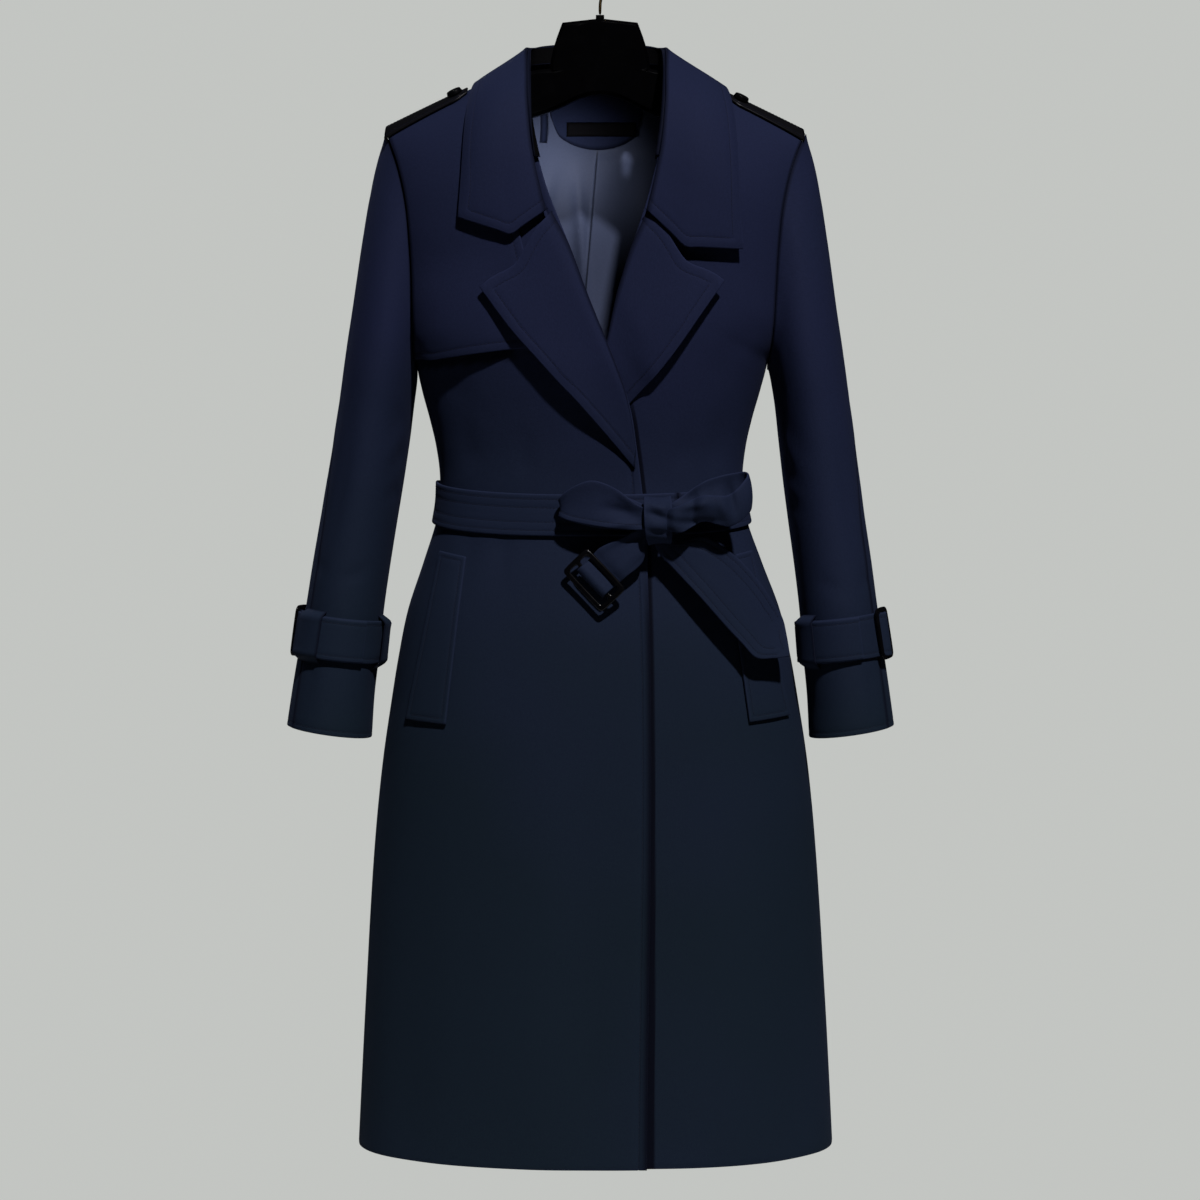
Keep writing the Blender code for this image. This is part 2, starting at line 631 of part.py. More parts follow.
def lapel_place(rows, lift):
    """Place of a lapel: u from its roll line to its edge, v from the gorge to the break point."""
    roll_x, roll_z, edge_x, edge_z = (curve(rows, "h", name)
                                      for name in ("roll_x", "roll_z", "edge_x", "edge_z"))

    def place(u, v):
        x = blend(roll_x(v), edge_x(v), u)
        dip = LAPEL_DIP * np.exp(-((u - 0.5) / np.where(u < 0.5, 0.17, 0.27)) ** 2)
        z = blend(roll_z(v), edge_z(v), u) - dip * (1 - v) ** 5
        point, normal = coat_at(x, z)
        return point + normal * lift(point)[:, None], normal
    return place


def lapel_under(place, covered_x, reach):
    """Height of a lapel's underside over its front. It runs down to nothing at the break point,
    and where x is less than covered_x(z), because the other front lies on it there."""
    def level(u, v):
        point = place(u, v)[0]
        bare = ease(point[:, 0] - covered_x(point[:, 2]), 0.004, 0.035)
        rise = ease(u, -0.05, 0.16) * LAPEL_UNDER + LAPEL_PROUD * u ** 2
        return CLEAR + rise * ease(v, 1.0, reach) * bare
    return level


def make_collar():
    cloth("collar_stand", 28, 2, stand_place, low=-CLOTH, high=0.0)
    cloth("collar_fall", 34, 8, collar_place, low=0.0, high=DOUBLE)
    right, left = lapel_place(RIGHT_LAPEL, right_lift), lapel_place(LEFT_LAPEL, left_lift)
    right_under = lapel_under(right, lambda z: -1.0, 0.55)
    left_under = lapel_under(left, right_edge_x, 0.30)
    cloth("lapel_right", 8, 14, right, low=right_under, high=lambda u, v: right_under(u, v) + DOUBLE)
    cloth("lapel_left", 8, 14, left, low=left_under, high=lambda u, v: left_under(u, v) + CLOTH)


# ---------------------------------------------------------------- flap, epaulettes and pockets
FLAP_EDGE = (   # the storm flap's inner edge, hidden under collar and lapel
    Edge(-0.400, -0.0500),
    Edge(-0.330, -0.0620),
    Edge(-0.250, -0.0800),
    Edge(-0.180, -0.0850),
    Edge(-0.110, -0.0850),
)
FLAP_WALL = 0.0018
FLAP_INSET = 0.012      # the flap's outer edge, in s, inside the armhole seam
FLAP_INSET_LOW = 0.045  # and at its lower end, where the sleeve swells out
FLAP_LOW_OUTER, FLAP_LOW_INNER = 0.055, 0.012   # its lower edge, as a share of the way up the armhole
FLAP_DROP = 0.037       # how far its inner end hangs below that line
FLAP_GAP = 0.0012       # gap under the flap
FLAP_FLARE = 0.004      # how far that edge stands off between its ends
STRAP_WALL = 0.0024
EPAULETTE_TIP = (0.1200, 0.1255)        # right and left neck end, from the centre line
EPAULETTE_END = 0.1985
EPAULETTE_HALF_TIP, EPAULETTE_HALF_END = 0.0220, 0.0265
EPAULETTE_FORWARD = 0.0245              # how far its middle lies in front of the shoulder seam
BUTTON_IN = 0.0115                      # the button's middle, from the neck end
BUTTON_RADIUS, BUTTON_HEIGHT = 0.0080, 0.0035

Welt = namedtuple("Welt", "name out_top_x out_top_z in_top_x in_top_z in_low_x in_low_z out_low_x out_low_z")
WELTS = (
    Welt("pocket_welt_right", -0.1505, -0.5767, -0.1257, -0.5816, -0.1442, -0.7387, -0.1828, -0.7360),
    Welt("pocket_welt_left", 0.1428, -0.5767, 0.1181, -0.5816, 0.1395, -0.7368, 0.1790, -0.7330),
)
WELT_WALL = 0.0030

flap_edge_x = curve(FLAP_EDGE, "z", "x")


def edge_s(t, edge_x):
    """s at which a line given by x(z) passes a way t down from the shoulder."""
    drop, _ = fall(t)
    z = -0.1 - drop
    for _ in range(8):
        z = shoulder_z(edge_x(z) - centre(z)) - drop
    return side_of(edge_x(z), z)


def flap_place(u, v):
    t = above_t(blend(blend(FLAP_LOW_OUTER, FLAP_LOW_INNER, u), 1.0, v))
    t = t + FLAP_DROP * u ** 1.8 * (1 - v) ** 2
    inset = blend(FLAP_INSET, FLAP_INSET_LOW, ease(v, 0.45, 0.0))
    s = blend(inset - side_edge_s(t), edge_s(t, flap_edge_x), u)
    point, normal = coat_face(s, t)
    return point + normal * right_lift(point)[:, None], normal


def flap_under(u, v):
    return FLAP_GAP + FLAP_FLARE * ease(v, 0.30, 0.0) * np.sin(math.pi * u)


def epaulette_place(side):
    tip = EPAULETTE_TIP[side > 0]

    def place(u, v):
        x = centre(TIP_Z) + side * blend(tip, EPAULETTE_END, u)
        half = blend(EPAULETTE_HALF_TIP, EPAULETTE_HALF_END, u) * blend(0.55, 1.0, ease(u, -0.05, 0.14))
        return coat_xt(x, EPAULETTE_FORWARD + blend(-half, half, v))
    return place


def make_epaulette(side, name):
    under = CLEAR if side > 0 else FLAP_GAP + FLAP_WALL + CLEAR
    cloth("epaulette_" + name, 8, 10, epaulette_place(side), low=under, high=under + STRAP_WALL,
          colour=BLACK, roughness=0.3)
    x = centre(TIP_Z) + side * (EPAULETTE_TIP[side > 0] + BUTTON_IN)
    point, normal = coat_xt(np.array([x]), np.array([EPAULETTE_FORWARD]))
    level = under + STRAP_WALL + CLEAR + BUTTON_HEIGHT / 2
    mesh = bmesh.new()
    bmesh.ops.create_cone(mesh, cap_ends=True, segments=20, radius1=BUTTON_RADIUS,
                          radius2=BUTTON_RADIUS * 0.86, depth=BUTTON_HEIGHT)
    turn = Vector(normal[0]).to_track_quat("Z", "Y").to_matrix().to_4x4()
    turn.translation = Vector(point[0] + normal[0] * level)
    bmesh.ops.transform(mesh, matrix=turn, verts=mesh.verts)
    add_solid("epaulette_button_" + name, mesh, colour=BLACK, roughness=0.25)


def welt_place(welt):
    def place(u, v):
        x = blend(blend(welt.out_low_x, welt.in_low_x, u), blend(welt.out_top_x, welt.in_top_x, u), v)
        z = blend(blend(welt.out_low_z, welt.in_low_z, u), blend(welt.out_top_z, welt.in_top_z, u), v)
        return coat_at(x, z)
    return place


def make_trim():
    cloth("storm_flap", 8, ROWS_ABOVE, flap_place, low=flap_under,
          high=lambda u, v: flap_under(u, v) + FLAP_WALL)
    for side, name in ((-1, "right"), (1, "left")):
        make_epaulette(side, name)
    for welt in WELTS:
        cloth(welt.name, 3, 8, welt_place(welt), low=2 * CLEAR, high=2 * CLEAR + WELT_WALL)


# ---------------------------------------------------------------- sleeve straps
CUFF_STRAP_Z = -0.6600
CUFF_STRAP_TILT = 0.0045    # half its drop from the outer to the inner side
CUFF_STRAP_WIDTH = 0.041
KEEPER_OVER = 0.008         # how far a keeper reaches past the strap's edges
Keeper = namedtuple("Keeper", "name side start end")
KEEPERS = (
    Keeper("cuff_keeper_right_front", -1, 1.45, 3.85),
    Keeper("cuff_keeper_right_inner", -1, 8.60, 10.20),
    Keeper("cuff_keeper_left_inner", 1, 7.20, 9.00),
)
StrapEnd = namedtuple("StrapEnd", "name side start end")
STRAP_ENDS = (
    StrapEnd("cuff_strap_end_right", -1, 0.60, 7.00),
    StrapEnd("cuff_strap_end_left", 1, 3.90, 9.80),
)
CuffBuckle = namedtuple("CuffBuckle", "name side k")
CUFF_BUCKLES = (
    CuffBuckle("cuff_buckle_right", -1, -1.0),
    CuffBuckle("cuff_buckle_left", 1, 1.50),
)
CUFF_BUCKLE_WIDTH, CUFF_BUCKLE_HEIGHT = 0.034, 0.050
CUFF_BUCKLE_LEAN = 0.12     # how far its top leans over
END_INSET = 0.0008          # a strap's end is this much narrower on each edge
BUCKLE_BAR = 0.0050         # width of a buckle's bars
BUCKLE_THICK = 0.0030
BUCKLE_ROUND = 0.0008       # its edges are cut back this far
STRAP_LOW = 2 * CLEAR
STRAP_TOP = STRAP_LOW + STRAP_WALL
END_LOW = STRAP_TOP + CLEAR
END_TOP = END_LOW + STRAP_WALL


def cuff_place(side, start, end, half_width_z):
    """A stretch of the sleeve at the strap, from column start to end and so far up and down."""
    def place(u, v):
        k = blend(start, end, u)
        middle = CUFF_STRAP_Z + CUFF_STRAP_TILT * np.cos(k * math.pi / ROWS_ABOVE)
        return sleeve_at(side, k, middle + (2 * v - 1) * half_width_z)
    return place


def keeper_level(u, v):
    """A keeper lies on the sleeve at its two ends and passes over the strap between them."""
    return blend(CLEAR, END_TOP + CLEAR, ease(np.minimum(v, 1 - v), 0.0, 0.124))


def rounded_box(width, height, radius, steps=3):
    """Corners of a flat rounded rectangle, anticlockwise."""
    points = []
    for quarter, (sx, sy) in enumerate(((1, 1), (-1, 1), (-1, -1), (1, -1))):
        for step in range(steps + 1):
            turn = (quarter + step / steps) * HALF_TURN
            points.append((sx * (width / 2 - radius) + radius * math.cos(turn),
                           sy * (height / 2 - radius) + radius * math.sin(turn)))
    return points


def outline_solid(name, outlines, thick, edge, matrix, **finish):
    """A flat piece cut to closed outlines, holes included, with rounded edges."""
    flat = bpy.data.curves.new(name, "CURVE")
    flat.dimensions = "2D"
    flat.fill_mode = "BOTH"
    flat.extrude = thick / 2 - edge
    flat.bevel_depth = edge
    flat.bevel_resolution = 0
    flat.offset = -edge
    for outline in outlines:
        spline = flat.splines.new("POLY")
        spline.points.add(len(outline) - 1)
        for point, (x, y) in zip(spline.points, outline):
            point.co = (x, y, 0, 1)
        spline.use_cyclic_u = True
    flat.materials.append(material(name, **finish))
    solid = bpy.data.objects.new(name, flat)
    solid.matrix_world = matrix
    bpy.data.collections["trench_coat"].objects.link(solid)
    return solid


def facing(point, normal, up):
    """The matrix of a flat piece that lies at a point, looks along a normal and has its own up."""
    z = Vector(normal).normalized()
    y = Vector(up)
    y = (y - z * y.dot(z)).normalized()
    matrix = Matrix((y.cross(z), y, z)).transposed().to_4x4()
    matrix.translation = Vector(point)
    return matrix


def make_cuffs():
    half = CUFF_STRAP_WIDTH / 2
    for side, name in ((-1, "right"), (1, "left")):
        cloth("cuff_strap_" + name, TURNS, 1, cuff_place(side, SEAM_TURN, TURNS - SEAM_TURN, half),
              low=STRAP_LOW, high=STRAP_TOP)
    for end in STRAP_ENDS:
        cloth(end.name, 7, 1, cuff_place(end.side, end.start, end.end, half - END_INSET),
              low=END_LOW, high=END_TOP)
    for keeper in KEEPERS:
        cloth(keeper.name, 3, 8, cuff_place(keeper.side, keeper.start, keeper.end, half + KEEPER_OVER),
              low=keeper_level, high=lambda u, v: keeper_level(u, v) + LINING)
    for buckle in CUFF_BUCKLES:
        point, normal = cuff_place(buckle.side, buckle.k, buckle.k, 0)(np.zeros(1), np.full(1, 0.5))
        level = STRAP_TOP + CLEAR + BUCKLE_THICK / 2
        width, height = CUFF_BUCKLE_WIDTH, CUFF_BUCKLE_HEIGHT
        outlines = [rounded_box(width, height, 0.007),
                    rounded_box(width - 2 * BUCKLE_BAR, height - 2 * BUCKLE_BAR, 0.003)]
        frame = facing(point[0] + normal[0] * level, normal[0], (-CUFF_BUCKLE_LEAN * buckle.side, 0, 1))
        outline_solid(buckle.name, outlines, BUCKLE_THICK, BUCKLE_ROUND, frame, colour=BLACK, roughness=0.2)


# ---------------------------------------------------------------- belt and bow
BELT_Z, BELT_DIP = -0.530, 0.012    # its middle at the sides, and how much lower it runs in front
BELT_WIDTH = 0.040
BELT_WALL = 0.0026
BELT_CLEAR = 0.0015
BELT_START = 0.33                   # s in front at which the band's two ends meet, behind the knot

Ribbon = namedtuple("Ribbon", "top_x top_y top_z low_x low_y low_z")
BOW_LOOP_LEFT = (    # from inside the knot along the front leaf, round the end and back behind
    Ribbon(0.0580, -0.1163, -0.5360, 0.0580, -0.1163, -0.5530),
    Ribbon(0.0760, -0.1180, -0.5300, 0.0760, -0.1190, -0.5560),
    Ribbon(0.0960, -0.1200, -0.5215, 0.0960, -0.1210, -0.5460),
    Ribbon(0.1190, -0.1160, -0.5215, 0.1200, -0.1150, -0.5510),
    Ribbon(0.1345, -0.1070, -0.5080, 0.1375, -0.1080, -0.5400),
    Ribbon(0.1375, -0.0965, -0.5010, 0.1400, -0.0985, -0.5320),
    Ribbon(0.1280, -0.0895, -0.5010, 0.1300, -0.0915, -0.5270),
    Ribbon(0.1000, -0.0950, -0.5080, 0.1000, -0.0965, -0.5440),
    Ribbon(0.0780, -0.0970, -0.5220, 0.0780, -0.0985, -0.5520),
    Ribbon(0.0600, -0.0985, -0.5340, 0.0600, -0.1000, -0.5500),
)
BOW_LOOP_RIGHT = (
    Ribbon(0.0500, -0.1180, -0.5360, 0.0500, -0.1180, -0.5530),
    Ribbon(0.0340, -0.1160, -0.5300, 0.0350, -0.1165, -0.5540),
    Ribbon(0.0160, -0.1150, -0.5165, 0.0180, -0.1160, -0.5530),
    Ribbon(-0.0080, -0.1145, -0.5080, -0.0060, -0.1155, -0.5500),
    Ribbon(-0.0300, -0.1080, -0.5170, -0.0300, -0.1090, -0.5450),
    Ribbon(-0.0385, -0.1010, -0.5260, -0.0380, -0.1020, -0.5410),
    Ribbon(-0.0320, -0.0945, -0.5220, -0.0320, -0.0955, -0.5450),
    Ribbon(-0.0020, -0.0945, -0.5150, -0.0020, -0.0955, -0.5530),
    Ribbon(0.0300, -0.0970, -0.5260, 0.0300, -0.0980, -0.5540),
    Ribbon(0.0480, -0.0990, -0.5340, 0.0480, -0.1000, -0.5480),
)
BELT_KNOT = (        # from behind the knot's top over its front to its lower end; top is its left side
    Ribbon(0.0415, -0.0876, -0.5290, 0.0660, -0.0826, -0.5270),
    Ribbon(0.0410, -0.1080, -0.5235, 0.0665, -0.1080, -0.5235),
    Ribbon(0.0405, -0.1210, -0.5330, 0.0670, -0.1220, -0.5330),
    Ribbon(0.0415, -0.1220, -0.5540, 0.0672, -0.1220, -0.5530),
    Ribbon(0.0440, -0.1130, -0.5660, 0.0670, -0.1130, -0.5650),
    Ribbon(0.0450, -0.1040, -0.5680, 0.0660, -0.1030, -0.5670),
)
BELT_END_BUCKLE = (  # the short end, from inside the knot down towards the buckle
    Ribbon(0.0500, -0.1065, -0.5520, 0.0500, -0.1065, -0.5649),
    Ribbon(0.0390, -0.1075, -0.5500, 0.0420, -0.1065, -0.5640),
    Ribbon(0.0220, -0.1085, -0.5600, 0.0420, -0.1060, -0.5840),
)
BELT_END_LONG = (    # the long end, from inside the knot down past its point
    Ribbon(0.0640, -0.1000, -0.5560, 0.0500, -0.1000, -0.5560),
    Ribbon(0.0740, -0.0995, -0.5650, 0.0530, -0.1005, -0.5730),
    Ribbon(0.0980, -0.0970, -0.5610, 0.0660, -0.1020, -0.5880),
    Ribbon(0.1290, -0.0860, -0.5810, 0.0933, -0.1050, -0.6170),
    Ribbon(0.1550, -0.0750, -0.6110, 0.1190, -0.1020, -0.6460),
    Ribbon(0.1728, -0.0660, -0.6391, 0.1463, -0.0960, -0.6744),
    Ribbon(0.1912, -0.0610, -0.6568, 0.1647, -0.0910, -0.6921),
)
BELT_POINT = 0.165          # share of the long end's length that is cut to a point
BELT_BUCKLE_MIDDLE = (-0.0055, -0.1085, -0.6010)
BELT_BUCKLE_UP = (-0.70, 0.0, 0.72)         # along its longer side
BELT_BUCKLE_NORMAL = (-0.15, -1.0, 0.02)
BELT_BUCKLE_WIDTH, BELT_BUCKLE_HEIGHT = 0.033, 0.054
MIDDLE_BAR = 0.0035
Turn = namedtuple("Turn", "across lift")
BUCKLE_TURNS = (     # the short end passes behind one bar, over the middle one and back behind that
    Turn(0.0260, -0.0030),
    Turn(0.0180, -0.0042),
    Turn(0.0120, -0.0037),
    Turn(0.0062, -0.0005),
    Turn(0.0015, 0.0033),
    Turn(-0.0025, 0.0031),
    Turn(-0.0058, -0.0002),
    Turn(-0.0030, -0.0040),
    Turn(0.0010, -0.0042),
)


def belt_place(u, v):
    """Once round the waist: in front to the left side, behind to the right, and back in front."""
    w = BELT_START + SEAM + (4 - 2 * SEAM) * u
    behind = (w > 1) & (w < 3)
    s = np.where(behind, 2 - w, np.where(w <= 1, w, w - 4))
    dip = np.where(behind, 0.0, BELT_DIP) * np.cos(HALF_TURN * s)
    z = BELT_Z - dip + (v - 0.5) * BELT_WIDTH
    t = way_down(shoulder_z(half_width(z) * width_share(s)) - z)
    point, normal = coat_face(s, np.where(behind, -t, t))
    x = point[:, 0]
    lift = np.where(behind, 0.0, OVERLAP_LIFT * ease(x, -0.11, -0.01) * ease(x, 0.11, 0.05))
    return point + normal * lift[:, None], normal


def belt_buckle_frame():
    return facing(BELT_BUCKLE_MIDDLE, BELT_BUCKLE_NORMAL, BELT_BUCKLE_UP)


def buckle_rows():
    """The short end's last rows, round the bars of its buckle."""
    frame = belt_buckle_frame()
    rows = []
    for turn in BUCKLE_TURNS:
        top, low = (frame @ Vector((turn.across, side * BELT_WIDTH * 0.48, turn.lift)) for side in (1, -1))
        rows.append(Ribbon(*top, *low))
    return tuple(rows)


def ribbon_place(rows, crown=0.0, point=0.0):
    """A strip of cloth between two edges, u along it and v across. crown bulges it between them,
    and point is the share of its length that is cut to a point."""
    count = len(rows) - 1
    steps = [Step(i / count, *row) for i, row in enumerate(rows)]
    low = [curve(steps, "u", name) for name in ("low_x", "low_y", "low_z")]
    top = [curve(steps, "u", name) for name in ("top_x", "top_y", "top_z")]

    def surface(u, v):
        start = np.stack([read(u) for read in low], axis=-1)
        end = np.stack([read(u) for read in top], axis=-1)
        return blend(start, end, v[..., None])

    def place(u, v):
        if point:
            v = 0.5 + (v - 0.5) * np.minimum(1, (1 - u) / point + 0.05)
        u, v = np.clip(u, 1e-3, 1 - 1e-3), np.clip(v, 1e-3, 1 - 1e-3)
        spot = surface(u, v)
        along = surface(u + 1e-3, v) - surface(u - 1e-3, v)
        across = surface(u, v + 1e-3) - surface(u, v - 1e-3)
        normal = unit(np.cross(along, across))
        return spot + normal * (crown * 4 * v * (1 - v))[:, None], normal
    return place


Step = namedtuple("Step", "u top_x top_y top_z low_x low_y low_z")


def make_belt():
    cloth("belt_band", 48, 2, belt_place, low=BELT_CLEAR, high=BELT_CLEAR + BELT_WALL)
    half = CLOTH / 2
    for name, rows, columns, across, crown, point in (
            ("bow_loop_left", BOW_LOOP_LEFT, 18, 4, 0.002, 0.0),
            ("bow_loop_right", BOW_LOOP_RIGHT, 18, 4, 0.002, 0.0),
            ("belt_knot", BELT_KNOT, 12, 4, 0.0015, 0.0),
            ("belt_end_buckle", BELT_END_BUCKLE + buckle_rows(), 22, 2, 0.0, 0.0),
            ("belt_end_long", BELT_END_LONG, 12, 4, 0.0015, BELT_POINT)):
        cloth(name, columns, across, ribbon_place(rows, crown, point), low=-half, high=half)
    slot = (BELT_BUCKLE_WIDTH - 2 * BUCKLE_BAR - MIDDLE_BAR) / 2
    hole = rounded_box(slot, BELT_BUCKLE_HEIGHT - 2 * BUCKLE_BAR, 0.002, steps=2)
    shift = (slot + MIDDLE_BAR) / 2
    outlines = [rounded_box(BELT_BUCKLE_WIDTH, BELT_BUCKLE_HEIGHT, 0.005)]
    outlines += [[(x + way * shift, y) for x, y in hole] for way in (-1, 1)]
    outline_solid("belt_buckle", outlines, BUCKLE_THICK, BUCKLE_ROUND, belt_buckle_frame(),
                  colour=BLACK, roughness=0.2)


# ---------------------------------------------------------------- lining, facing, label and loop
LINING_CLEAR = 0.0026
LINING_LOW_Z = -0.462
LINING_TOP = 0.006          # gap below the back neckline, along the surface
LINING_SHOULDER = 0.028     # and its least distance from the shoulder seams, clear of the hanger
LINING_SIDE = 0.09          # its sides, in s, inside the armhole seams
LINING_LEVEL = -CLOTH - LINING_CLEAR
PLEAT_DEPTH, PLEAT_HALF, PLEAT_TOP_Z = 0.004, 0.007, -0.195
FACING_HALF, FACING_SIDE_Z, FACING_DROP = 0.047, -0.150, 0.034
FACING_GAP = 0.0024
FACING_LEVEL = LINING_LEVEL - LINING - FACING_GAP
LABEL_LEFT, LABEL_RIGHT, LABEL_TOP_Z, LABEL_LOW_Z = -0.034, 0.037, -0.1560, -0.1700
LABEL_WALL = 0.0008
LOOP_X, LOOP_WIDTH, LOOP_TOP_Z, LOOP_LOW_Z, LOOP_SLACK = -0.0570, 0.007, -0.1430, -0.1770, 0.004


def lining_place(u, v):
    t_low = t_at(0.0, LINING_LOW_Z)
    up = v + ROWS_CROWD * v * (1 - v)
    s = (2 * u - 1) * (side_edge_s(t_low * (1 - up)) - LINING_SIDE)
    top = np.maximum(back_neck_t(s) + LINING_TOP, LINING_SHOULDER)
    point, normal = coat_face(s, -blend(t_low, top, up))
    near = np.exp(-((point[:, 0] + 0.004) / PLEAT_HALF) ** 2)
    pleat = PLEAT_DEPTH * near * ease(point[:, 2], PLEAT_TOP_Z, PLEAT_TOP_Z - 0.03)
    return point - normal * pleat[:, None], normal


def facing_place(u, v):
    across = 2 * u - 1
    x = NECK_MIDDLE + FACING_HALF * across
    low_z = FACING_SIDE_Z - FACING_DROP * np.sqrt(np.clip(1 - across ** 2, 0, 1))
    top_t = BACK_NECK_DROP * np.cos(HALF_TURN * FACING_HALF / NECK_X * across) ** BACK_NECK_ROUND + LINING_TOP
    low_t = way_down(shoulder_z(x - NECK_MIDDLE) - low_z)
    return coat_xt(x, -blend(low_t, top_t, v))


def patch_place(left, right, low_z, top_z):
    """A rectangle inside the back, between two x and two heights."""
    def place(u, v):
        return coat_at(blend(left, right, u), blend(low_z, top_z, v), behind=True)
    return place


def make_inside():
    cloth("lining_back", 14, 11, lining_place, low=LINING_LEVEL - LINING, high=LINING_LEVEL,
          colour=LINING_BLUE, roughness=0.4)
    cloth("neck_facing", 12, 4, facing_place, low=FACING_LEVEL - LINING, high=FACING_LEVEL)
    label_top = FACING_LEVEL - LINING - 2 * CLEAR
    cloth("neck_label", 6, 1, patch_place(LABEL_LEFT, LABEL_RIGHT, LABEL_LOW_Z, LABEL_TOP_Z),
          low=label_top - LABEL_WALL, high=label_top, colour=BLACK, roughness=0.5)

    def slack(u, v):
        return LINING_LEVEL - LINING - 2 * CLEAR - LOOP_SLACK * np.sin(math.pi * v)
    loop = patch_place(LOOP_X - LOOP_WIDTH / 2, LOOP_X + LOOP_WIDTH / 2, LOOP_LOW_Z, LOOP_TOP_Z)
    cloth("hanging_loop", 1, 6, loop, low=lambda u, v: slack(u, v) - LINING, high=slack)


# ---------------------------------------------------------------- hanger
HANGER_THICK = 0.016
HANGER_EDGE = 0.003
HANGER_CLEAR = 0.0014       # between the arms and the inside of the shoulders
ARM_START, ARM_END = 0.066, 0.186
ARM_DEPTH_START, ARM_DEPTH_END = 0.046, 0.016
NUB_HALF, NUB_TOP_Z = 0.0040, -0.0652
Corner = namedtuple("Corner", "x z")
HANGER_HEAD = (             # half of the head, from the nub out to the arm
    Corner(NUB_HALF, NUB_TOP_Z),
    Corner(NUB_HALF, -0.0690),
    Corner(0.0360, -0.0725),
    Corner(0.0462, -0.0990),
    Corner(0.0480, -0.1165),
)
HANGER_ARCH = ((0.038, -0.1540), (0.020, -0.1430), (0.0, -0.1390))
HOOK_WIRE = 0.0016
HOOK_RADIUS = 0.0216        # to the middle of the wire, so that its inside top is at the origin
HOOK_STEM_TOP = -0.0520
HOOK_BEND = 0.006           # softness of the bend from the stem into the round
HOOK_START, HOOK_END, HOOK_STEPS = -50, 205, 16     # degrees of arc, anticlockwise


def arm_top(x):
    z = TIP_Z
    for _ in range(4):
        z = shoulder_z(x - centre(z))
    return float(z) - CLOTH - HANGER_CLEAR


def hanger_half(side):
    """Half of the hanger's outline, from the nub over the arm and back to the arch."""
    points = [(side * corner.x, corner.z) for corner in HANGER_HEAD]
    steps = 6
    for i in range(steps + 1):
        x = side * blend(ARM_START, ARM_END, i / steps)
        points.append((x, arm_top(x)))
    points.append((side * (ARM_END + 0.003), arm_top(side * ARM_END) - ARM_DEPTH_END / 2))
    for i in range(steps, -1, -1):
        x = side * blend(ARM_START, ARM_END, i / steps)
        points.append((x, arm_top(x) - blend(ARM_DEPTH_START, ARM_DEPTH_END, i / steps)))
    points += [(side * x, z) for x, z in HANGER_ARCH[:-1]]
    return points


def hook_path():
    """The stem, a bend out to the side, and round over the rod, as x and z."""
    middle = HOOK_WIRE - HOOK_RADIUS
    points = [(0, NUB_TOP_Z + 0.0003)]
    start = math.radians(HOOK_START)
    foot = Vector((0, HOOK_STEM_TOP))
    side = Vector((HOOK_RADIUS * math.cos(start), middle + HOOK_RADIUS * math.sin(start)))
    pulls = (foot + Vector((0, HOOK_BEND)), side + HOOK_BEND * Vector((math.sin(start), -math.cos(start))))
    bend = interpolate_bezier(foot, *pulls, side, 5)
    points += [tuple(spot[:2]) for spot in bend[:-1]]
    for i in range(HOOK_STEPS + 1):
        turn = math.radians(blend(HOOK_START, HOOK_END, i / HOOK_STEPS))
        points.append((HOOK_RADIUS * math.cos(turn), middle + HOOK_RADIUS * math.sin(turn)))
    return points


def make_hanger():
    outline = hanger_half(1) + [HANGER_ARCH[-1]] + hanger_half(-1)[::-1]
    upright = Matrix.Rotation(HALF_TURN, 4, "X")
    outline_solid("hanger_body", [outline], HANGER_THICK, HANGER_EDGE, upright, colour=BLACK, roughness=0.35)
    wire = bpy.data.curves.new("hanger_hook", "CURVE")
    wire.dimensions = "3D"
    wire.bevel_depth = HOOK_WIRE
    wire.bevel_resolution = 2
    wire.use_fill_caps = True
    spline = wire.splines.new("POLY")
    path = hook_path()
    spline.points.add(len(path) - 1)
    for point, (x, z) in zip(spline.points, path):
        point.co = (x, 0, z, 1)
    wire.materials.append(material("hanger_hook", BRASS, 0.3, 1.0))
    bpy.data.collections["trench_coat"].objects.link(bpy.data.objects.new("hanger_hook", wire))


# ---------------------------------------------------------------- main
def main():
    for old in list(bpy.data.objects):
        bpy.data.objects.remove(old)
    bpy.context.scene.collection.children.link(bpy.data.collections.new("trench_coat"))
    make_body()
    make_sleeves()
    make_collar()
    make_trim()
    make_cuffs()
    make_belt()
    make_inside()
    make_hanger()


main()
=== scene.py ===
"""Looks of the trench coat on its coat hanger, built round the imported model.

Every cloth solid is a wall over a grid of cells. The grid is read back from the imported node, a finer
cloth is laid through it with rounded edges and sunk stitch rows, and the creases are pressed in.
"""
import math
from collections import namedtuple

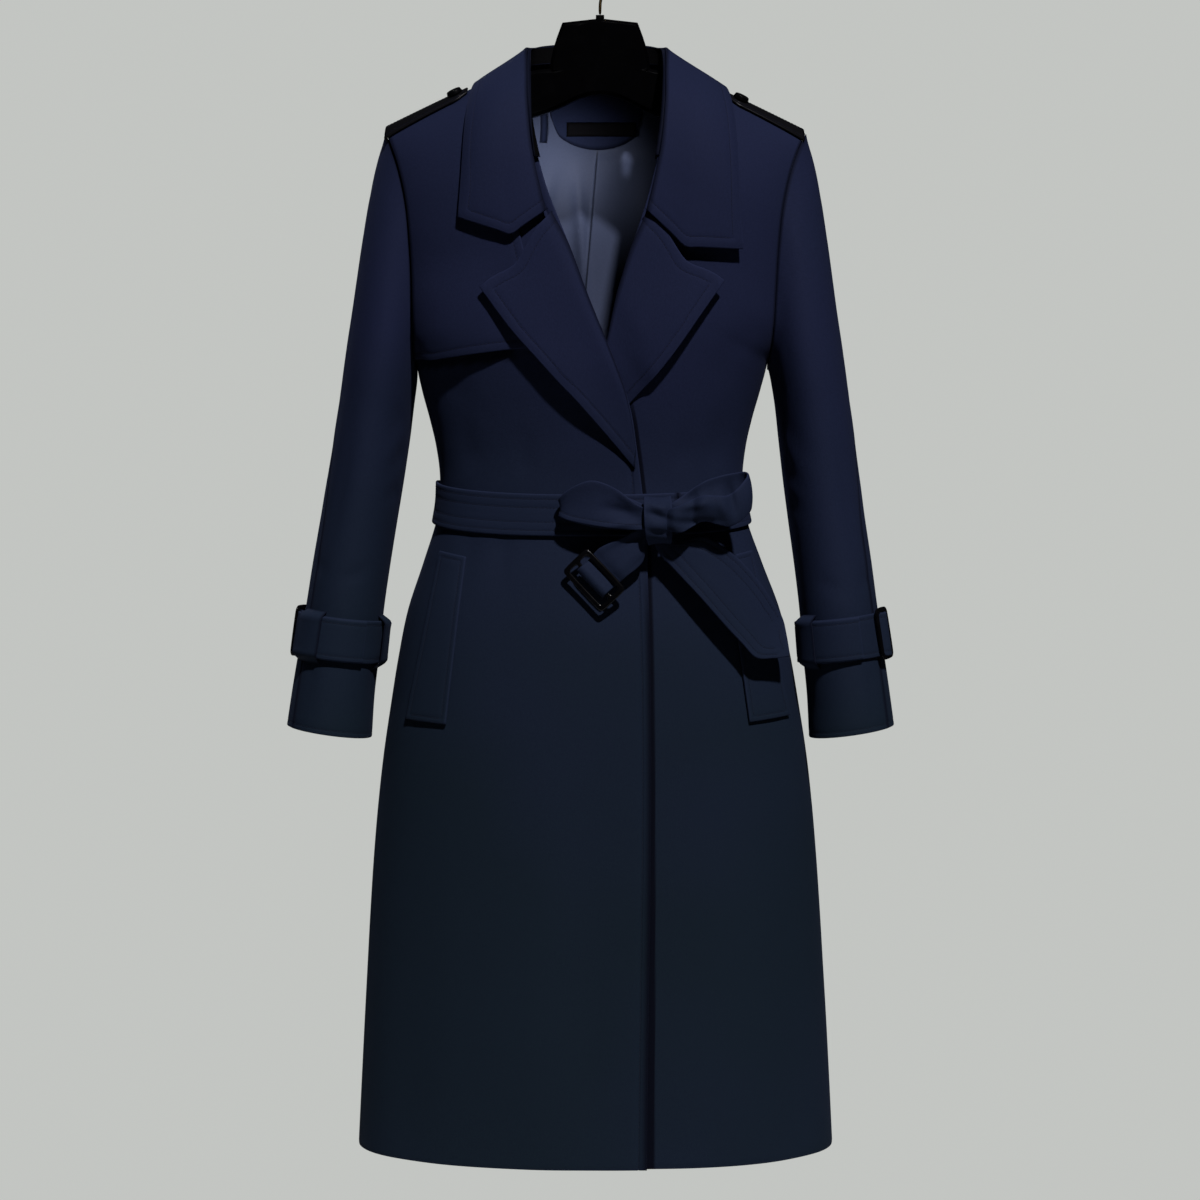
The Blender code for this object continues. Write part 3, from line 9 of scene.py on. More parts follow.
import bmesh
import bpy
import numpy as np
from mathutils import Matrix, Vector


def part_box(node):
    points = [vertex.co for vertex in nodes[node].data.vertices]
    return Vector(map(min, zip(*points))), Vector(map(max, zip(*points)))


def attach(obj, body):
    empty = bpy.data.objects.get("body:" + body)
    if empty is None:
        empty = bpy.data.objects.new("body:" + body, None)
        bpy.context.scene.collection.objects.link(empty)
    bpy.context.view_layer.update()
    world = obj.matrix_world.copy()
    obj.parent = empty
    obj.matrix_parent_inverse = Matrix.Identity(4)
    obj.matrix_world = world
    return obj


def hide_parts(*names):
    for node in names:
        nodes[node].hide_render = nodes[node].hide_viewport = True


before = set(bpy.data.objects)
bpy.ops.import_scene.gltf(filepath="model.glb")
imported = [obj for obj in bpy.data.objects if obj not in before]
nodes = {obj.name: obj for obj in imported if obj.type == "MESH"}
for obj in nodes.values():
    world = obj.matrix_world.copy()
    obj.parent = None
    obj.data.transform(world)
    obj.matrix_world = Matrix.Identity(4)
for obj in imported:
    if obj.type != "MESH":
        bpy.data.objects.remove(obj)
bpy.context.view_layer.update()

UP, DOWN = (0, 0, 1), (0, 0, -1)
EAST, WEST = (1, 0, 0), (-1, 0, 0)
FRONT, BEHIND = (0, -1, 0), (0, 1, 0)


# ---- small mathematics
def blend(a, b, f):
    return a + (b - a) * f


def ease(x, start, end):
    """0 before start, 1 after end, smooth between them."""
    f = np.clip((x - start) / (end - start), 0, 1)
    return f * f * (3 - 2 * f)


def band(x, a, b, c, d):
    """0 up to a, 1 from b to c, 0 after d."""
    return ease(x, a, b) * (1 - ease(x, c, d))


def unit(vectors):
    return vectors / np.maximum(np.linalg.norm(vectors, axis=-1, keepdims=True), 1e-12)


def column(levels, key):
    """Reads one named column of a table of levels at any height, in straight steps."""
    heights, values = zip(*((level.z, getattr(level, key)) for level in levels))
    return lambda z: np.interp(z, heights, values)


def table(kind, plain, text):
    """Rows of a kind, written in millimetres and kept in metres; the columns in `plain` aren't lengths."""
    scales = [1 if key in plain.split() else 1000 for key in kind._fields]
    rows = (map(float, line.split()) for line in text.strip().splitlines())
    return tuple(kind(*(value / scale for value, scale in zip(row, scales))) for row in rows)


def forward(points, height):
    return points + np.array(FRONT, float) * height[..., None]


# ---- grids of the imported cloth
def coordinates(mesh):
    points = np.zeros(len(mesh.vertices) * 3)
    mesh.vertices.foreach_get("co", points)
    return points.reshape(-1, 3)


def welded(name):
    """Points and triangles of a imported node, its doubled points joined."""
    mesh = nodes[name].data
    points = coordinates(mesh)
    mesh.calc_loop_triangles()
    corners = np.zeros(len(mesh.loop_triangles) * 3, int)
    mesh.loop_triangles.foreach_get("vertices", corners)
    _, first, number = np.unique(np.round(points, 6), axis=0, return_index=True, return_inverse=True)
    return points[first], number.reshape(-1)[corners].reshape(-1, 3)


WALL_TOLERANCE = 5e-7    # by which a wall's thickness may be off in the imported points
WIDEST_WALL = 1.5        # of the stated thickness, above which two faces aren't one wall's


def wall_faces(points, triangles, wall):
    """The two faces of a wall of cloth."""
    edges = np.concatenate([triangles[:, pair] for pair in ([0, 1], [1, 2], [2, 0])])
    length = np.linalg.norm(points[edges[:, 0]] - points[edges[:, 1]], axis=1)
    across = np.abs(length - wall) < WALL_TOLERANCE
    faces = triangles[~across.reshape(3, -1).any(axis=0)]
    group = np.arange(len(points))
    changed = True
    while changed:
        before = group.copy()
        np.minimum.at(group, faces.ravel(), np.repeat(group[faces].min(axis=1), 3))
        group = group[group]
        changed = (group != before).any()
    labels = group[faces[:, 0]]
    return [faces[labels == label] for label in np.unique(labels)]


def walk_grid(points, faces, columns):
    """Indices of the points of one face of a wall, as a grid with that many columns of cells."""
    apex = {}
    for a, b, c in faces.tolist():
        apex[a, b], apex[b, c], apex[c, a] = c, a, b
    after = {p: q for p, q in apex if (q, p) not in apex}
    loop = [min(after)]
    while after[loop[-1]] != loop[0]:
        loop.append(after[loop[-1]])
        if len(loop) > len(after):
            raise ValueError("the rim isn't one loop")
    rows = len(loop) // 2 - columns
    ahead = unit(points[loop[1:] + loop[:1]] - points[loop])
    turn = np.sqrt(np.maximum(1 - np.sum(ahead * np.roll(ahead, 1, axis=0), axis=1), 0))
    corners = np.array([0, columns, columns + rows, 2 * columns + rows])
    scores = [turn[(k + corners) % len(loop)].sum() for k in range(len(loop))]
    for k in np.argsort(scores)[::-1]:
        ring = loop[k:] + loop[:k]
        grid = fill_grid(apex, ring, columns, rows)
        if grid is not None:
            return grid
    raise ValueError("no grid fits the wall")


def fill_grid(apex, ring, columns, rows):
    grid = np.full((columns + 1, rows + 1), -1)
    grid[:, 0] = ring[:columns + 1]
    grid[0, 1:] = ring[::-1][:rows]
    for j in range(rows):
        for i in range(columns):
            a, b, d = int(grid[i, j]), int(grid[i + 1, j]), int(grid[i, j + 1])
            c = apex.get((d, b)) if apex.get((a, b)) == d else apex.get((a, b))
            if c is None:
                return None
            grid[i + 1, j + 1] = c
        if grid[columns, j + 1] != ring[columns + j + 1]:
            return None
    return grid


def cloth_grid(part):
    """Points of a cloth node as two grids, its outer face and its inner one.
    The columns run towards part.right and the rows towards part.up; the outer face looks part.away."""
    points, triangles = welded(part.name)
    faces = wall_faces(points, triangles, part.wall)
    if len(faces) != 2:
        raise ValueError(f"{part.name}: {len(faces)} faces")
    grids = [points[walk_grid(points, side, part.columns)] for side in faces]
    for k, grid in enumerate(grids):
        if np.dot(grid[-1].mean(axis=0) - grid[0].mean(axis=0), part.right) < 0:
            grid = grid[::-1]
        if np.dot(grid[:, -1].mean(axis=0) - grid[:, 0].mean(axis=0), part.up) < 0:
            grid = grid[:, ::-1]
        grids[k] = grid
    gap = np.linalg.norm(grids[0] - grids[1], axis=-1).mean()
    if gap > WIDEST_WALL * part.wall:
        raise ValueError(f"{part.name}: the faces don't match, {gap}")
    towards = part.away(grids[0]) if callable(part.away) else np.array(part.away, float)
    if np.sum((grids[0] - grids[1]) * towards) < 0:
        grids.reverse()
    return grids


# ---- the coat's middle lines
Level = namedtuple("Level", "z x wide deep")
# the middle of the coat and its half width and half depth
COAT_LEVELS = table(Level, "", """
-1154 -4.4 231 108
-873 -4.8 215 105
-728 -5 198 102
-630 -6 178 93
-546 -8 150 79
-498 -8.5 147 77
-402 -8 168 91
-300 -5.5 192 95
-100 -3.8 228 85
""")
ArmLevel = namedtuple("ArmLevel", "z x lean y")
# a sleeve's middle, from the wearer's; both lean the same way
SLEEVE_LEVELS = table(ArmLevel, "", """
-756 252 -9.2 -22
-630 237 -8 -12
-533 223 -6.8 -3
-402 205 -5.3 2
-200 188 -4.5 0
""")
coat_x, coat_wide, coat_deep = (column(COAT_LEVELS, key) for key in ("x", "wide", "deep"))
sleeve_x, sleeve_lean, sleeve_y = (column(SLEEVE_LEVELS, key) for key in ("x", "lean", "y"))


def from_coat(points):
    """Level directions straight out of the coat, as the normals of its oval sections."""
    x, y, z = np.moveaxis(points, -1, 0)
    across, ahead = (x - coat_x(z)) / coat_wide(z) ** 2, y / coat_deep(z) ** 2
    return unit(np.stack((across, ahead, np.zeros_like(x)), axis=-1))


def from_sleeve(side):
    """Level directions straight out of a sleeve."""
    def away(points):
        x, y, z = np.moveaxis(points, -1, 0)
        middle = side * sleeve_x(z) + sleeve_lean(z)
        return unit(np.stack((x - middle, y - sleeve_y(z), np.zeros_like(x)), axis=-1))
    return away


# ---- finer cloth through a grid
def smooth_read(grid, u, v):
    """Points of the smooth surface through a grid, at u columns and v rows from its first corner."""
    padded = np.pad(grid, ((1, 1), (1, 1), (0, 0)), mode="edge")
    padded[0], padded[-1] = 2 * padded[1] - padded[2], 2 * padded[-2] - padded[-3]
    padded[:, 0], padded[:, -1] = 2 * padded[:, 1] - padded[:, 2], 2 * padded[:, -2] - padded[:, -3]
    i = np.clip(np.floor(u).astype(int), 0, grid.shape[0] - 2)
    j = np.clip(np.floor(v).astype(int), 0, grid.shape[1] - 2)
    total = 0
    for a, across in enumerate(bend_weights(u - i)):
        for b, along in enumerate(bend_weights(v - j)):
            total = total + (across * along)[..., None] * padded[i + a, j + b]
    return total


def bend_weights(f):
    return ((-f + 2 * f ** 2 - f ** 3) / 2, (2 - 5 * f ** 2 + 3 * f ** 3) / 2,
            (f + 4 * f ** 2 - 3 * f ** 3) / 2, (f ** 3 - f ** 2) / 2)


ROUND_SHARES = (0.0, 0.12, 0.38, 1.0)      # where the cells of a rounded edge lie, as shares of its width
DIP_SHARES = (-1.0, -0.5, 0.0, 0.5, 1.0)   # and those of a sunk stitch row
DIP_HALF = 0.0016
DIP_WIDTH = 0.55 * DIP_HALF
EDGE_ROOM = 0.47               # the most of a piece that the lines of one edge take
LAP_LINES = np.arange(9) * 0.0012          # distances of the close lines beside a lap
BEFORE_LAP, AFTER_LAP = 0.0015, 0.0115     # where the common lines end and go on
LAP_ROOM = (0.012, 0.030)      # the least distance of a lap from the lines of the two edges
ALONG, BESIDE = 6, 2           # places measured in each cell, along the lines and beside each other
SETTLING = 5                   # rounds in which the two sets of lines find their crossings


def edge_lines(edge_round, stitched):
    """Distances from an edge at which the cloth has a line of points."""
    lines = [share * edge_round for share in ROUND_SHARES]
    for row in sorted(stitched):
        lines += [row + share * DIP_HALF for share in DIP_SHARES]
    return np.array(sorted(line for line in lines if line >= 0))


def spread(lengths, near, far, step, lap=None):
    """For edges of these lengths, the distances of all lines: those near both ends, and others between,
    with closer ones beside the lap, where that is given."""
    room = EDGE_ROOM * lengths
    first = near[None] * np.minimum(1, room / near[-1])[:, None]
    last = lengths[:, None] - far[None] * np.minimum(1, room / far[-1])[:, None]
    count = max(2, math.ceil((lengths.mean() - near[-1] - far[-1]) / step))
    middle = blend(first[:, -1:], last[:, -1:], np.arange(1, count)[None] / count)
    if lap is not None:
        lap = np.clip(lap, first[:, -1] + LAP_ROOM[0], last[:, -1] - LAP_ROOM[1])[:, None]
        count = math.ceil((lap.max() - near[-1]) / step)
        before = blend(first[:, -1:], lap - BEFORE_LAP, np.arange(1, count + 1)[None] / count)
        count = math.ceil((last[:, -1:] - lap).max() / step)
        after = blend(lap + AFTER_LAP, last[:, -1:], np.arange(count)[None] / count)
        middle = np.concatenate((before, lap + LAP_LINES[None], after), axis=1)
    return np.concatenate((first, middle, last[:, ::-1]), axis=1)


def lines_over(grid, axis, near, far, step, lap=None):
    """For places along the other axis, the columns (axis 0) or rows (axis 1) of the grid where the lines
    cross it, and their distances from its first edge."""
    if axis:
        grid = grid.swapaxes(0, 1)
    wide, high = grid.shape[0] - 1, grid.shape[1] - 1
    u = np.linspace(0, wide, wide * ALONG + 1)
    v = np.linspace(0, high, high * BESIDE + 1)
    dense = smooth_read(grid, *np.meshgrid(u, v, indexing="ij"))
    pieces = np.linalg.norm(np.diff(dense, axis=0), axis=-1)
    run = np.concatenate((np.zeros((1, len(v))), np.cumsum(pieces, axis=0)))
    if lap:
        beyond = dense[..., 0] - np.interp(dense[..., 2], *lap)
        lap = np.array([np.interp(0, beyond[:, k], run[:, k]) for k in range(len(v))])
    at = spread(run[-1], near, far, step, lap)
    return v, np.array([np.interp(at[k], run[:, k], u) for k in range(len(v))]), at


def read_rows(v, rows, at):
    """Column k of the rows, at the places at[k]."""
    low = np.clip(np.searchsorted(v, at) - 1, 0, len(v) - 2)
    f = (at - v[low]) / (v[low + 1] - v[low])
    k = np.arange(rows.shape[1])[:, None]
    return blend(rows[low, k], rows[low + 1, k], f)


def lay_cloth(grids, part, lap):
    """Finer outer and inner faces through two grids, and the distances from their four sides:
    first and last column, first and last row."""
    rounds, rows = part.rounds, part.rows
    near = [edge_lines(rounds[k], rows[k]) for k in range(4)]
    v_places, u_table, u_run = lines_over(grids[0], 0, near[0], near[1], part.step, lap)
    u_places, v_table, v_run = lines_over(grids[0], 1, near[2], near[3], part.step)
    v = np.broadcast_to(v_table.mean(axis=0), (u_table.shape[1], v_table.shape[1]))
    for _ in range(SETTLING):
        u = read_rows(v_places, u_table, v)
        v = read_rows(u_places, v_table, u.T).T
    across, along = read_rows(v_places, u_run, v), read_rows(u_places, v_run, u.T).T
    edges = (across, across[-1:] - across, along, along[:, -1:] - along)
    outer, inner = (smooth_read(grid, u, v) for grid in grids)
    middle, half = (outer + inner) / 2, (outer - inner) / 2
    inset = [np.clip(1 - edge / max(edge_round, 1e-6), 0, 1) for edge, edge_round in zip(edges, rounds)]
    deep = np.maximum(inset[0], inset[1]) ** 2 + np.maximum(inset[2], inset[3]) ** 2
    full = np.sqrt(np.clip(1 - deep, 0, 1))[..., None]
    nearest = np.minimum.reduce([np.where(bool(rows[k]), edges[k], 1.0) for k in range(4)])
    sunk = np.zeros_like(nearest)
    for row in sorted({row for side in rows for row in side}):
        sunk = np.maximum(sunk, np.exp(-((nearest - row) / DIP_WIDTH) ** 2))
    lower = part.dip * sunk[..., None] * unit(half)
    return middle + half * full - lower, middle - half * full, edges


def face_normals(outer, inner):
    """Normals of the outer face, away from the inner one."""
    normal = unit(np.cross(np.gradient(outer, axis=0), np.gradient(outer, axis=1)))
    return normal if np.sum(normal * (outer - inner)) > 0 else -normal


def shell_mesh(name, outer, inner, values):
    """One closed skin over both faces, which meet along the rim, with values for each point."""
    n, m = outer.shape[:2]
    index = np.arange(n * m).reshape(n, m)
    inside = np.zeros((n, m), bool)
    inside[1:-1, 1:-1] = True
    under = index.copy()
    under[inside] = n * m + np.arange(inside.sum())
    points = np.concatenate((outer.reshape(-1, 3), inner[inside]))

    def cells(at, turned):
        a, b, c, d = at[:-1, :-1], at[1:, :-1], at[1:, 1:], at[:-1, 1:]
        ring = (a, d, c, b) if turned else (a, b, c, d)
        return np.stack([corner.ravel() for corner in ring], axis=-1)

    k, l = n // 2, m // 2
    normal = np.cross(outer[k + 1, l] - outer[k, l], outer[k, l + 1] - outer[k, l])
    turned = bool(np.dot(normal, outer[k, l] - inner[k, l]) < 0)
    faces = np.concatenate((cells(index, turned), cells(under, not turned)))
    piece = mesh_object(name, points, faces)
    for key, value in values.items():
        value = np.concatenate((value.reshape(n * m, -1), value[inside].reshape(-1, value[0, 0].size)))
        store(piece, key, value)
    return piece


def store(piece, key, value):
    """Keeps a number or a vector for each point of a piece, for its material."""
    kind, field = ("FLOAT", "value") if value.shape[1] == 1 else ("FLOAT_VECTOR", "vector")
    layer = piece.data.attributes.new(key, kind, "POINT")
    layer.data.foreach_set(field, np.ascontiguousarray(value, np.float32).ravel())


def placed(name, data):
    thing = bpy.data.objects.new(name, data)
    bpy.context.scene.collection.objects.link(thing)
    return thing


NO_EDGE = 0.01      # the distance from an edge that is stored where there is none


def grained(piece):
    """Gives a piece without a grid the values that the cloth materials read."""
    places = coordinates(piece.data)
    store(piece, "grain", places[:, [0, 2, 1]])
    store(piece, "edge", np.full((len(places), 1), NO_EDGE))


def mesh_object(name, points, faces):
    mesh = bpy.data.meshes.new(name)
    count, corners = faces.shape
    mesh.vertices.add(len(points))
    mesh.vertices.foreach_set("co", np.ascontiguousarray(points, np.float32).ravel())
    mesh.loops.add(count * corners)
    mesh.loops.foreach_set("vertex_index", np.ascontiguousarray(faces, np.int32).ravel())
    mesh.polygons.add(count)
    mesh.polygons.foreach_set("loop_start", np.arange(count, dtype=np.int32) * corners)
    mesh.update(calc_edges=True)
    mesh.validate()
    mesh.polygons.foreach_set("use_smooth", [True] * len(mesh.polygons))
    return placed(name, mesh)


# ---- creases
Crease = namedtuple("Crease", "x0 z0 x1 z1 width depth deepest bow", defaults=(0.5, 0.002))
# troughs (depth < 0) and ridges; deepest is a share of the way, and bow bends them aside
FRONT_CREASES = table(Crease, "deepest", """
-68 -600 -78 -1200 50 3.5 0.7 6
-12 -640 -6 -1200 30 -2.2 0.75 4
-160 -700 -186 -1200 30 -3 0.8 6
124 -620 128 -1200 45 3.4 0.75 -8
180 -760 198 -1200 22 -2.6 0.8 4
-118 -556 -136 -640 9 -1.4 0.2 3
-88 -560 -94 -625 8 -1.2 0.2 2
104 -556 124 -640 9 -1.3 0.2 -3
-122 -502 -138 -430 11 -1.6 0.3 4
-70 -506 -76 -452 10 -1 0.3 2
108 -500 128 -428 12 -1.6 0.3 -4
74 -500 80 -450 9 -0.9 0.3 2
150 -360 96 -430 14 -1.2 0.25 4
-150 -402 -100 -455 13 -1.2 0.25 4
""")
BACK_CREASES = table(Crease, "deepest", """
-104 -552 -124 -760 13 -6.3 0.16 6
-86 -552 -96 -700 11 4.5 0.2 3
-66 -552 -72 -860 14 -6.9 0.14 5
-36 -552 -38 -720 11 -5.1 0.18 -2
-6 -552 -2 -930 15 -6 0.14 4
22 -552 26 -690 10 -4.5 0.2 3
48 -552 56 -820 14 -6.75 0.14 -4
76 -552 92 -710 11 -5.1 0.2 -5
96 -552 120 -800 13 -6 0.16 -6
-96 -508 -120 -390 12 -3.24 0.18 5
-60 -508 -66 -430 11 -2.7 0.2 2
-28 -508 -34 -360 14 -3.24 0.18 -3
12 -508 14 -440 10 -2.34 0.22 2
44 -508 52 -370 13 -3.24 0.18 4
84 -508 108 -400 12 -3.06 0.18 -5
-158 -330 -72 -410 16 -2.7 0.22 8
-162 -290 -90 -330 14 -1.8 0.22 5
148 -330 66 -415 16 -2.7 0.22 -8
152 -285 86 -325 13 -1.8 0.22 -5
-120 -800 -140 -1200 40 11 0.8 4
-30 -860 -36 -1200 30 -9.68 0.8 4
30 -800 34 -1200 36 10.12 0.8 -4
104 -820 124 -1200 34 -8.8 0.8 4
""")
Pull = namedtuple("Pull", "turn0 z0 turn1 z1 width depth deepest bow")
# degrees from the front towards the outer side
SLEEVE_CREASES = table(Pull, "turn0 turn1 deepest", """
20 -420 30 -590 9 -1.6 0.55 3
-10 -300 6 -470 14 1.8 0.5 4
48 -300 56 -560 12 -1.4 0.5 -4
-40 -440 0 -486 10 -1.8 0.25 4
-60 -475 -10 -512 9 -2 0.25 3
-62 -520 -20 -532 8 -1.6 0.25 -3
-30 -590 20 -604 6 -1.2 0.4 2
18 -600 60 -588 6 -1.1 0.5 -2
-70 -730 -64 -672 9 -1.2 0.6 2
34 -740 28 -672 8 -1.2 0.7 -2
205 -470 250 -440 11 -3 0.6 6
170 -500 250 -486 10 -3.4 0.7 5
165 -530 245 -524 9 -3 0.7 -5
190 -556 240 -566 8 -2.2 0.6 -3
150 -330 170 -480 16 2.4 0.5 4
120 -400 130 -590 12 -1.6 0.5 4
200 -700 206 -660 8 -1.2 0.6 2
""")
# small gathers at the top, below the seam
CAP_PUCKERS = table(Pull, "turn0 turn1 deepest", """
58 -178 52 -240 4.5 -1.2 0.3 2
40 -182 38 -232 4 -1 0.3 -2
78 -176 74 -250 5 -1.2 0.3 2
98 -178 100 -238 4.5 -1 0.3 1
22 -196 26 -236 4 -0.8 0.3 1
120 -182 122 -240 4.5 -1 0.3 1
142 -188 140 -230 4 -0.8 0.3 1
""")


RUN_OUT = 0.06           # how far a crease goes on past its ends, as a share of its length
SIDE_FADE = 0.03         # depth over which the creases of the front and the back fade out at the sides
SLEEVE_ROUND = 0.048     # turns a sleeve's degrees into metres
INNER_TURN = -100        # where the turns round a sleeve start, at its inner side


def crease_height(crease, along, z):
    """How far one crease moves the cloth out, for places measured along the cloth and upwards."""
    ax, az, bx, bz = crease[:4]
    length = math.hypot(bx - ax, bz - az)
    dx, dz = (bx - ax) / length, (bz - az) / length
    share = ((along - ax) * dx + (z - az) * dz) / length
    aside = (along - ax) * dz - (z - az) * dx - crease.bow * 4 * share * (1 - share)
    rise = band(share, -RUN_OUT, crease.deepest, crease.deepest, 1 + RUN_OUT)
    return crease.depth * rise * np.exp(-(aside / crease.width) ** 2)


def coat_creases(points):
    x, y, z = np.moveaxis(points, -1, 0)
    height = 0
    for creases, towards in ((FRONT_CREASES, -1), (BACK_CREASES, 1)):
        here = ease(towards * y, 0.0, SIDE_FADE)
        height = height + here * sum(crease_height(crease, x, z) for crease in creases)
    return points + from_coat(points) * height[..., None]


def sleeve_creases(side, shift=0.0):
    """The creases of one sleeve, with its long ones moved up by `shift`."""
    away = from_sleeve(side)

    def press(points):
        out = away(points)
        turn = np.degrees(np.arctan2(side * out[..., 0], -out[..., 1]))
        arc = np.radians(np.where(turn < INNER_TURN, turn + 360, turn)) * SLEEVE_ROUND
        height = 0
        for creases, up in ((SLEEVE_CREASES, shift), (CAP_PUCKERS, 0)):
            for crease in creases:
                laid = Crease(math.radians(crease.turn0) * SLEEVE_ROUND, crease.z0 + up,
                              math.radians(crease.turn1) * SLEEVE_ROUND, crease.z1 + up, *crease[4:])
                height = height + crease_height(laid, arc, points[..., 2])
        return points + out * height[..., None]
    return press


KEEPER_FLAT = 0.60                     # the share of a keeper that lies flat on its strap
BAR_RISE, BAR_WIDTH = 0.0075, 0.0075   # of a strap over its buckle's middle bar
BAR_REACH = 0.05                       # from the bar, beyond which a strap lies flat


def around_strap(name, away, press, narrower, pull):
    """A keeper's folds; it lies close round its strap, its ends drawn in to the sleeve."""
    low, high = (corner[2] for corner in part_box(name))
    middle, half = (low + high) / 2, (high - low) / 2

    def pressed(points):
        offset = points[..., 2] - middle
        ends = ease(np.abs(offset) / half, KEEPER_FLAT, 1.0)
        moved = press(points) - away(points) * (pull * ends)[..., None]
        moved[..., 2] -= narrower * offset
        return moved
    return pressed


def through_buckle(name, away, press):
    """A sleeve strap's folds, with the rise where it passes over its buckle's middle bar."""
    middle = np.mean(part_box(name), axis=0)

    def pressed(points):
        out = away(points)
        offset = points - middle
        around = out[..., 0] * offset[..., 1] - out[..., 1] * offset[..., 0]
        near = np.linalg.norm(offset, axis=-1) < BAR_REACH
        rise = BAR_RISE * np.exp(-(around / BAR_WIDTH) ** 2)
        return press(points) + out * (rise * near)[..., None]
    return pressed


FLAP_LIFT = 0.0028
FLAP_HEM = (0.290, 0.352)              # depths below the hook between which the flap comes off the chest
FLAP_FREE = (-0.200, -0.150, -0.112, -0.078)   # and places where it does


def flap_lift(points):
    """The storm flap's folds; its lower edge stands off the chest, except where the lapel lies on it."""
    x, _, z = np.moveaxis(points, -1, 0)
    return forward(coat_creases(points), FLAP_LIFT * ease(-z, *FLAP_HEM) * band(x, *FLAP_FREE))


# the knot is at x 40 to 68
BOW_FOLDS = table(Crease, "deepest", """
38 -534 72 -545 3.2 -3.4
42 -527 66 -534 3 2.2
40 -553 72 -556 3 -3
44 -566 68 -567 2.8 -2.4
46 -540 60 -562 8 3.6
64 -532 104 -526 4.2 4.4
60 -545 118 -545 3.4 -4.2
66 -556 108 -557 3.8 4
90 -512 86 -552 4.2 -4.6
108 -512 124 -552 5.5 4
120 -505 128 -545 3.5 -3.6
40 -543 -4 -533 4.5 -3
40 -550 2 -552 3.2 2.6
34 -536 12 -518 3.5 1.6
""")
# along the short end, from the knot to its buckle
END_FOLDS = table(Crease, "deepest", """
50 -556 -6 -586 4 -2.4 0.4 3
50 -568 4 -604 4 1.8 0.4 2
""")
KNOT_SIDE = (0.0585, 0.0675)           # between which the knot goes over into the left loop
KNOT_SUNK = 0.0062
Gather = namedtuple("Gather", "height x z wide high")
LOOP_GATHERS = table(Gather, "", """
7.2 70 -543 13 17
4.5 98 -530 12 10
""")
LOOP_SIDE = (0.0590, 0.0680)           # between which the first gather rises


def bow_creases(points):
    """Gathers that run into the knot, pressed to the front and back."""
    return forward(points, sum(crease_height(fold, points[..., 0], points[..., 2]) for fold in BOW_FOLDS))


def knot_creases(points):
    """The knot's own folds; its left side runs on into the left loop."""
    return forward(bow_creases(points), -KNOT_SUNK * ease(points[..., 0], *KNOT_SIDE))


def loop_creases(points):
    """The left loop, gathered thick where it leaves the knot."""
    x, _, z = np.moveaxis(points, -1, 0)
    near, far = (g.height * np.exp(-((x - g.x) / g.wide) ** 2 - ((z - g.z) / g.high) ** 2)
                 for g in LOOP_GATHERS)
    return forward(bow_creases(points), near * ease(x, *LOOP_SIDE) + far)


PLEAT_EDGE = (np.array((-0.52, -0.11)), np.array((-0.0307, 0.0041)))   # its heights and places
PLEAT = 0.0042
PLEAT_STEP, PLEAT_FLAT, PLEAT_END = 0.0012, 0.012, 0.075    # distances from its edge
FACING_Z, PLEAT_FULL = 0.184, 0.20     # the pleat starts below the neck facing
LiningFold = namedtuple("LiningFold", "height aside lean width")
LINING_FOLDS = table(LiningFold, "lean", """
5.8 19 0.14 6.2
4.6 42 -0.16 7.5
3.4 -50 0.12 8
""")
LINING_HEM = (0.188, 0.25)             # depths below the hook between which the folds begin
WAVE_Z, WAVE_X, WAVE = 38, 14, 0.25    # their heights come and go along them


def lining_folds(points):
    """The centre-back pleat, whose edge runs down left of the middle, and soft folds beside it."""
    x, _, z = np.moveaxis(points, -1, 0)
    beyond = x - np.interp(z, *PLEAT_EDGE)
    pleat = PLEAT * band(beyond, -PLEAT_STEP, PLEAT_STEP, PLEAT_FLAT, PLEAT_END)
    folds = sum(fold.height * np.exp(-((beyond + fold.aside + fold.lean * (z + 0.2)) / fold.width) ** 2)
                for fold in LINING_FOLDS)
    folds = folds * ease(-z, *LINING_HEM) * (1 - WAVE + WAVE * np.sin(WAVE_Z * z + WAVE_X * x))
    return forward(points, pleat * ease(-z, FACING_Z, PLEAT_FULL) + folds)


def as_hung(points):
    return points


# ---- stitches
STITCH, STITCH_PITCH = 0.0025, 0.0034
THREAD = 0.00030       # half the thread's thickness
ARCH, CLEAR = 0.55 * THREAD, 0.25 * THREAD      # of a stitch over its ends, and of these over the cloth
ROW_REACH = 0.0012     # how far a line of points may be from the row that follows it
SPINDLE = ((-0.5, 0.25), (-0.28, 0.9), (0.0, 1.0), (0.28, 0.9), (0.5, 0.25))    # a stitch's places and sizes
stitch_groups = {}


def stitch_paths(outer, normal, edges, stitched):
    """Points and normals along each stitch row, side by side with the edges."""
    for side, rows in enumerate(stitched):
        for row in rows:
            across = edges[side]
            picked = np.argmin(np.abs(across - row), axis=side // 2)
            lines = np.arange(len(picked))
            k, l = (picked, lines) if side < 2 else (lines, picked)
            others = [edges[o][k, l] for o in range(4) if o != side and stitched[o]]
            inside = np.minimum.reduce(others) >= row - 1e-4 if others else np.ones(len(k), bool)
            inside &= np.abs(across[k, l] - row) < ROW_REACH
            points, normals = outer[k, l], normal[k, l]
            for run in np.split(np.arange(len(k)), np.flatnonzero(inside[1:] != inside[:-1]) + 1):
                if inside[run[0]] and len(run) > 2:
                    yield points[run], normals[run]


def read_along(at, run, values):
    return np.stack([np.interp(at, run, values[:, c]) for c in range(3)], axis=-1)


